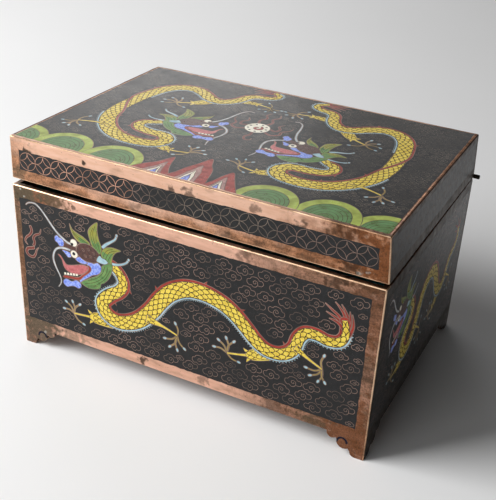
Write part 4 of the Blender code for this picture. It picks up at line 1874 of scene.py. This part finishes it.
@dataclass
class CopperShell:
    """A copper shell of the box, taken from its CAD solid, with worn edges and its surfaces told apart."""

    node: str
    name: str
    body: str
    finishes: tuple[CopperFinish | PlainFinish, ...]
    skin: float = 1.5
    lid_roof: float = 3.2
    ceiling_depth: float = 5.0
    bare_lip: float = 6.0
    front_rim: float = 1.8
    edge_reach: float = 4.0
    round_width: float = 0.4
    rim_depth: float = 1.0
    wear_step: float = 4.0
    wear: float = 0.13
    low: Vector = field(init=False)
    high: Vector = field(init=False)

    def build(self) -> bpy.types.Object:
        """Make the shell.

        Returns:
            The finished piece.
        """
        bm = bmesh.new()
        bm.from_mesh(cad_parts[self.node].data)
        bmesh.ops.remove_doubles(bm, verts=bm.verts, dist=1e-6)
        bmesh.ops.dissolve_limit(
            bm, angle_limit=math.radians(0.1), verts=bm.verts, edges=bm.edges,
            use_dissolve_boundaries=False, delimit=set(),
        )
        self.low, self.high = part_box(self.node)
        self.join_ceiling(bm)
        self.wear_edges(bm)
        self.bare_the_lip(bm)
        self.part_the_rim(bm)
        for face in bm.faces:
            face.material_index = self.surface_of(face).value
            face.smooth = True
        mesh = bpy.data.meshes.new(self.name)
        bm.to_mesh(mesh)
        bm.free()
        mesh.set_sharp_from_angle(angle=math.radians(50))
        for finish in self.finishes:
            mesh.materials.append(finish.material())
        piece = bpy.data.objects.new(self.name, mesh)
        bpy.context.scene.collection.objects.link(piece)
        flatten = piece.modifiers.new("flat_faces", "WEIGHTED_NORMAL")
        flatten.keep_sharp = True
        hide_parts(self.node)
        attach(piece, self.body)
        log.info("%s: %d faces", piece.name, len(mesh.polygons))
        return piece

    def join_ceiling(self, bm: bmesh.types.BMesh) -> None:
        """Join the halves of the lid's slightly warped ceiling, so that no crease shows in it.

        Args:
            bm: The shell's mesh.
        """
        level = self.high.z - self.ceiling_depth * MM
        halves = {face for face in bm.faces if face.normal.z < -0.9 and face.calc_center_median().z > level}
        creases = [
            edge for edge in bm.edges if len(edge.link_faces) == 2 and halves.issuperset(edge.link_faces)
        ]
        if self.body == "lid" and creases:
            bmesh.ops.dissolve_edges(bm, edges=creases, use_verts=False, use_face_split=False)

    def is_outside(self, face: bmesh.types.BMFace) -> bool:
        """Tell whether a face lies in the outer skin of the walls or on the lid's top.

        Args:
            face: The face.

        Returns:
            True where it does.
        """
        skin = self.skin * MM
        place = face.calc_center_median()
        in_width = self.low.x + skin < place.x < self.high.x - skin
        in_depth = self.low.y + skin < place.y < self.high.y - skin
        in_roof = self.body == "lid" and place.z > self.high.z - self.lid_roof * MM
        return not (in_width and in_depth) or (in_roof and face.normal.z > -0.5)

    def is_rounded(self, face: bmesh.types.BMFace) -> bool:
        """Tell whether a face is one of the narrow ones that round an edge.

        Args:
            face: The face.

        Returns:
            True where it is.
        """
        leans = max(abs(part) for part in face.normal) < 0.965
        return leans and face.calc_area() / face.calc_perimeter() < self.round_width * MM

    def rounded_faces(self, bm: bmesh.types.BMesh) -> list[bmesh.types.BMFace]:
        """List the narrow faces that round the outer edges."""
        return [face for face in bm.faces if self.is_rounded(face) and self.is_outside(face)]

    def wear_edges(self, bm: bmesh.types.BMesh) -> None:
        """Cut the rounded outer edges into short lengths and wear them unevenly.

        Args:
            bm: The shell's mesh.
        """
        for axis in range(3):
            way = Vector([float(axis == part) for part in range(3)])
            rounded = self.rounded_faces(bm)
            geometry = list(
                dict.fromkeys(item for face in rounded for item in (face, *face.edges, *face.verts))
            )
            for cut in range(1, int((self.high[axis] - self.low[axis]) / (self.wear_step * MM))):
                place = self.low + way * cut * self.wear_step * MM
                result = bmesh.ops.bisect_plane(bm, geom=geometry, plane_co=place, plane_no=way, dist=1e-6)
                geometry = result["geom"]
        worn: dict[bmesh.types.BMVert, Vector] = {}
        for face in self.rounded_faces(bm):
            for vert in face.verts:
                worn[vert] = worn.get(vert, Vector()) + face.normal
        for vert, way in worn.items():
            bite = max(0.0, noise.noise(vert.co * 170) + 0.35 * noise.noise(vert.co * 620))
            vert.co -= way.normalized() * bite * self.wear * MM

    def bare_the_lip(self, bm: bmesh.types.BMesh) -> None:
        """Cut the inner walls where their lining stops short of the rim.

        Args:
            bm: The shell's mesh.
        """
        level = self.high.z - self.bare_lip * MM if self.body == "box" else self.low.z + self.bare_lip * MM
        inner = []
        for face in bm.faces:
            if not self.is_outside(face) and abs(face.normal.z) < 0.3:
                inner += [face, *face.edges, *face.verts]
        bmesh.ops.bisect_plane(
            bm, geom=list(dict.fromkeys(inner)), plane_co=(0, 0, level), plane_no=(0, 0, 1), dist=1e-6
        )

    def part_the_rim(self, bm: bmesh.types.BMesh) -> None:
        """Cut the lid's top rim behind its front length, which is brighter: rubbed copper with a painted
        highlight.

        Args:
            bm: The shell's mesh.
        """
        rim = []
        for face in bm.faces:
            if self.is_rim(face):
                rim += [face, *face.edges, *face.verts]
        place = (0, self.low.y + self.front_rim * MM, 0)
        bmesh.ops.bisect_plane(
            bm, geom=list(dict.fromkeys(rim)), plane_co=place, plane_no=(0, 1, 0), dist=1e-6
        )

    def is_rim(self, face: bmesh.types.BMFace) -> bool:
        """Tell whether a face is part of the rim round the lid's top."""
        height = face.calc_center_median().z
        return self.body == "lid" and face.normal.z > 0.9 and height > self.high.z - self.rim_depth * MM

    def surface_of(self, face: bmesh.types.BMFace) -> Surface:
        """Tell which surface of the shell a face belongs to.

        Args:
            face: The face.

        Returns:
            The surface.
        """
        centre = face.calc_center_median()
        if self.is_outside(face):
            if self.is_rim(face) and centre.y > self.low.y + self.front_rim * MM:
                return Surface.DULL_EDGE
            # Rounded edges near the front take the bright edge finish, a painted highlight over worn copper;
            # the rest take the dull edge finish.
            if self.is_rounded(face):
                return Surface.EDGE if centre.y < self.low.y + self.edge_reach * MM else Surface.DULL_EDGE
            # Faces turned to the left or right take the side copper, a darker copy that is painted shade.
            return Surface.SIDE if abs(face.normal.x) > 0.8 else Surface.FRONT
        if self.body == "box" and centre.z < FLOOR_LEVEL * MM:
            return Surface.UNDERSIDE
        from_rim = self.high.z - centre.z if self.body == "box" else centre.z - self.low.z
        return Surface.FRONT if from_rim < self.bare_lip * MM else Surface.LINING


@dataclass(frozen=True)
class Studio:
    """The pale floor, the soft lights and the camera of the picture."""

    azimuth: float = 25.56
    elevation: float = 28.88
    roll: float = 2.894
    camera_from_front: tuple[float, float, float] = (162.11 + BODY_WIDTH / 2, -281.25, 250.68)
    focal_share: float = 956.8 / 500
    floor_half: float = 3.0
    room_light: float = 0.04

    def build(self) -> None:
        """Set up the floor, lights and camera."""
        self.add_floor()
        self.add_world()
        self.add_light("left_softbox", (-0.88, -0.55, 0.74), (0.8, 0.8), 23.0, (0, 0, 0.03))
        self.add_light("back_softbox", (-0.8, 0.88, 0.42), (0.9, 0.6), 2.3, (0, 0, 0.08))
        self.add_light("front_card", (-0.2, -1.1, 0.6), (0.7, 0.5), 2.4, (0, 0, 0.04))
        self.add_light("back_card", (-0.4, 1.2, 0.5), (1.0, 0.6), 1.0, (0, 0, 0.08))
        self.add_camera()

    def add_floor(self) -> None:
        """Lay a pale, level floor that reaches far behind the box."""
        bm = bmesh.new()
        bmesh.ops.create_grid(bm, x_segments=1, y_segments=1, size=self.floor_half)
        mesh = bpy.data.meshes.new("studio_floor")
        bm.to_mesh(mesh)
        bm.free()
        sheet = Sheet("studio_paper")
        sheet.plug("Base Color", sheet.blend(sheet.noise(6, 2), srgb(238, 238, 238), srgb(243, 243, 243)))
        sheet.plug("Roughness", 0.7)
        mesh.materials.append(sheet.material)
        floor = bpy.data.objects.new("studio_floor", mesh)
        bpy.context.scene.collection.objects.link(floor)

    def add_world(self) -> None:
        """Fill the room with soft pale light."""
        world = bpy.data.worlds.new("studio_room")
        world.use_nodes = True
        background = world.node_tree.nodes["Background"]
        background.inputs["Color"].default_value = (1.0, 1.0, 1.0, 1.0)
        background.inputs["Strength"].default_value = self.room_light
        bpy.context.scene.world = world
        bpy.context.scene.view_settings.view_transform = "Standard"

    def add_light(
        self,
        name: str,
        at: Sequence[float],
        size: tuple[float, float],
        power: float,
        aim: Sequence[float],
    ) -> None:
        """Add a soft box light.

        Args:
            name: Its name.
            at: Where it is, in metres.
            size: Its width and height.
            power: Its power in watts.
            aim: The point that it faces.
        """
        data = bpy.data.lights.new(name, "AREA")
        data.shape = "RECTANGLE"
        data.size, data.size_y = size
        data.energy = power
        light = bpy.data.objects.new(name, data)
        light.location = at
        light.rotation_euler = (Vector(aim) - Vector(at)).to_track_quat("-Z", "Y").to_euler()
        bpy.context.scene.collection.objects.link(light)

    def add_camera(self) -> None:
        """Stand the camera where the photograph was taken from."""
        azimuth, elevation, roll = (math.radians(a) for a in (self.azimuth, self.elevation, self.roll))
        level = math.cos(elevation)
        back = Vector((math.sin(azimuth) * level, -math.cos(azimuth) * level, math.sin(elevation)))
        right = Vector((math.cos(azimuth), math.sin(azimuth), 0))
        up = back.cross(right)
        leaned_right = right * math.cos(roll) + up * math.sin(roll)
        leaned_up = up * math.cos(roll) - right * math.sin(roll)
        turn = Matrix((leaned_right, leaned_up, back)).transposed().to_4x4()
        data = bpy.data.cameras.new("camera")
        data.sensor_width = 36.0
        data.lens = self.focal_share * data.sensor_width
        data.clip_start = 0.01
        camera = bpy.data.objects.new("camera", data)
        camera.matrix_world = Matrix.Translation(box_point(*self.camera_from_front)) @ turn
        bpy.context.scene.collection.objects.link(camera)
        bpy.context.scene.camera = camera


LINING = PlainFinish("turquoise_lining", srgb(70, 158, 160), srgb(52, 134, 142), 0.0, 0.34)
DULL_COPPER = PlainFinish("dull_underside", srgb(126, 84, 58), srgb(84, 58, 44), 0.85, 0.5)
PIN_METAL = PlainFinish("dark_pin", srgb(42, 38, 34), srgb(66, 54, 42), 0.9, 0.45, 700.0)
# The pale pink middle of the body's copper is rubbed copper with a painted highlight over it.
BODY_COPPER = CopperFinish(
    "body_copper",
    rubbed_highlight_at=(66.0, 0.0, 76.0),
    rubbed_highlight_reach=(50.0, 400.0),
    stains=(
        Stain(160, 0, 66, 20, BRONZE, 0.5), Stain(158, 0, 10, 20, BRONZE, 0.7),
        Stain(12, 0, 77, 16, BRONZE, 0.75), Stain(10, 0, 8, 14, ASH, 0.7),
        Stain(2, 0, 46, 24, BRONZE, 0.6), Stain(4, 0, 74, 7, GRIME, 0.75),
        Stain(1, 0, 44, 15, PATINA, 0.3), Stain(7, 0, 76, 9, PATINA), Stain(20, 0, 76, 8, PATINA, 0.7),
        Stain(2, 0, 62, 9, PATINA, 0.5), Stain(3, 0, 22, 10, PATINA, 0.6),
        Stain(9, 0, 10, 10, PATINA, 0.7), Stain(26, 0, 11, 8, PATINA, 0.5),
        Stain(63, 0, 11.5, 2.4, GRIME), Stain(109, 0, 76, 4, GRIME, 0.5),
        Stain(160, 0, 74, 12, GRIME, 0.3), Stain(124, 0, 11, 7, GRIME, 0.5),
        Stain(146, 0, 75.5, 5, GRIME, 0.6), Stain(141, 0, 11, 6, PATINA, 0.6),
        Stain(163, 0, 40, 6, GRIME, 0.4), Stain(31, 0, 75, 1.6, GRIME, 0.7),
        Stain(92, 0, 12, 3, GRIME, 0.5), Stain(12, 0, 8, 0.9, PALE_SPECK, 0.7),
        # The two pale specks on the next line, at the body's top-left corner, are a painted highlight.
        Stain(6, 0, 74, 0.8, PALE_SPECK, 0.6), Stain(4, 0, 77, 0.6, PALE_SPECK, 0.7),
    ),
    arches=True,
)
# The pale pink along the top of the lid's front is rubbed copper with a painted highlight over it.
LID_COPPER = CopperFinish(
    "lid_copper",
    polished_and_highlit=srgb(230, 188, 164),
    worn=srgb(198, 142, 106),
    brown=srgb(126, 90, 66),
    rubbed_highlight_at=(70.0, 0.0, 99.5),
    rubbed_highlight_reach=(74.0, 16.0),
    stains=(
        Stain(166, 0, 88, 22, BRONZE, 0.85), Stain(140, 0, 88, 14, BRONZE, 0.35),
        Stain(8.5, 0, 94.8, 3.2, GRIME, 0.95), Stain(37, 0, 96.5, 1.1, GRIME, 0.95),
        Stain(76, 0, 94.8, 2.6, GRIME, 0.8), Stain(84, 0, 95.2, 3.0, GRIME, 0.7),
        Stain(130, 0, 94, 3.0, GRIME, 0.7), Stain(112, 0, 96, 2.2, GRIME, 0.6),
        Stain(146, 0, 96, 6, GRIME, 0.5), Stain(154, 0, 81.6, 1.5, PALE_SPECK, 0.6),
        Stain(157, 0, 83, 1.1, PALE_SPECK, 0.6), Stain(150, 0, 82.4, 4, GRIME, 0.6),
        Stain(3, 0, 83, 5, PATINA, 0.6), Stain(60, 0, 81.5, 4, GRIME, 0.5),
        Stain(100, 0, 81.5, 3, GRIME, 0.5),
    ),
)
# The side copper: the same worn copper made darker, as painted shade on the left and right faces.
SHADED_SIDE_COPPER = CopperFinish(
    "side_copper_painted_shade", srgb(98, 82, 68), srgb(74, 60, 48), srgb(44, 38, 33), rubbed_highlight_reach=(1.0, 1.0),
    roughness=0.38,
)
# The bright edge finish: worn copper edges with a painted highlight along them.
EDGE_COPPER = CopperFinish(
    "worn_edge_painted_highlight", srgb(240, 206, 172), srgb(212, 162, 126), srgb(138, 104, 78), (60.0, 0.0, 50.0),
    (140.0, 55.0),
)
DULL_EDGE = CopperFinish(
    "dull_edge", srgb(176, 128, 104), srgb(132, 92, 70), srgb(72, 54, 44), rubbed_highlight_reach=(1.0, 1.0)
)
KNUCKLE_COPPER = CopperFinish("hinge_copper", rubbed_highlight_reach=(1.0, 1.0))

LONG_WINDOW = (3.1, 13.9, 160.1, 73.1)
SHORT_WINDOW = (2.9, 13.9, 110.5, 73.1)
LONG_BAND = (4.2, 4.9, 160.8, 14.0)
SHORT_BAND = (2.9, 4.9, 110.5, 17.3)
TOP_WINDOW = (1.6, 1.6, 163.4, 111.8)

FIELDS = (
    EnamelField("front_enamel_panel", "box", Side.FRONT, LONG_WINDOW, Picture.LONG_DRAGON, BODY_COPPER),
    EnamelField("right_enamel_panel", "box", Side.RIGHT, SHORT_WINDOW, Picture.SHORT_DRAGON, SHADED_SIDE_COPPER),
    EnamelField("back_enamel_panel", "box", Side.BACK, LONG_WINDOW, Picture.LONG_DRAGON, BODY_COPPER),
    EnamelField(
        "left_enamel_panel", "box", Side.LEFT, SHORT_WINDOW, Picture.SHORT_DRAGON, SHADED_SIDE_COPPER, mirror=True
    ),
    EnamelField(
        "lid_top_enamel", "lid", Side.TOP, TOP_WINDOW, Picture.DRAGON_PAIR, LID_COPPER, "lid_top_enamel"
    ),
    EnamelField("lid_front_enamel_band", "lid", Side.FRONT, LONG_BAND, Picture.COINS, LID_COPPER),
    EnamelField("lid_right_enamel_band", "lid", Side.RIGHT, SHORT_BAND, Picture.COINS, SHADED_SIDE_COPPER),
    EnamelField("lid_back_enamel_band", "lid", Side.BACK, LONG_BAND, Picture.COINS, LID_COPPER),
    EnamelField("lid_left_enamel_band", "lid", Side.LEFT, SHORT_BAND, Picture.COINS, SHADED_SIDE_COPPER),
)

SHELL_FINISHES = (SHADED_SIDE_COPPER, EDGE_COPPER, LINING, DULL_COPPER, DULL_EDGE)
SHELLS = (
    CopperShell("box_body", "body_copper_shell", "box", (BODY_COPPER, *SHELL_FINISHES)),
    CopperShell("lid", "lid_copper_shell", "lid", (LID_COPPER, *SHELL_FINISHES)),
)


def dress(node: bpy.types.Object, material: bpy.types.Material) -> None:
    """Put a material into every slot of a CAD node.

    Args:
        node: The CAD node's object.
        material: Its new material.
    """
    if not node.material_slots:
        node.data.materials.append(material)
    for slot in node.material_slots:
        slot.material = material
    log.info("%s: dressed in %s", node.name, material.name)


def main() -> None:
    """Build every piece of the box, then the studio round it."""
    logging.basicConfig(level=logging.INFO)
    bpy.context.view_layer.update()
    for shell in SHELLS:
        shell.build()
    for enamel_field in FIELDS:
        enamel_field.build()
    knuckle = KNUCKLE_COPPER.material()
    for name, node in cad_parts.items():
        if "knuckle" in name:
            dress(node, knuckle)
    dress(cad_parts["hinge_pin"], PIN_METAL.material())
    Studio().build()


if __name__ == "__main__":
    main()
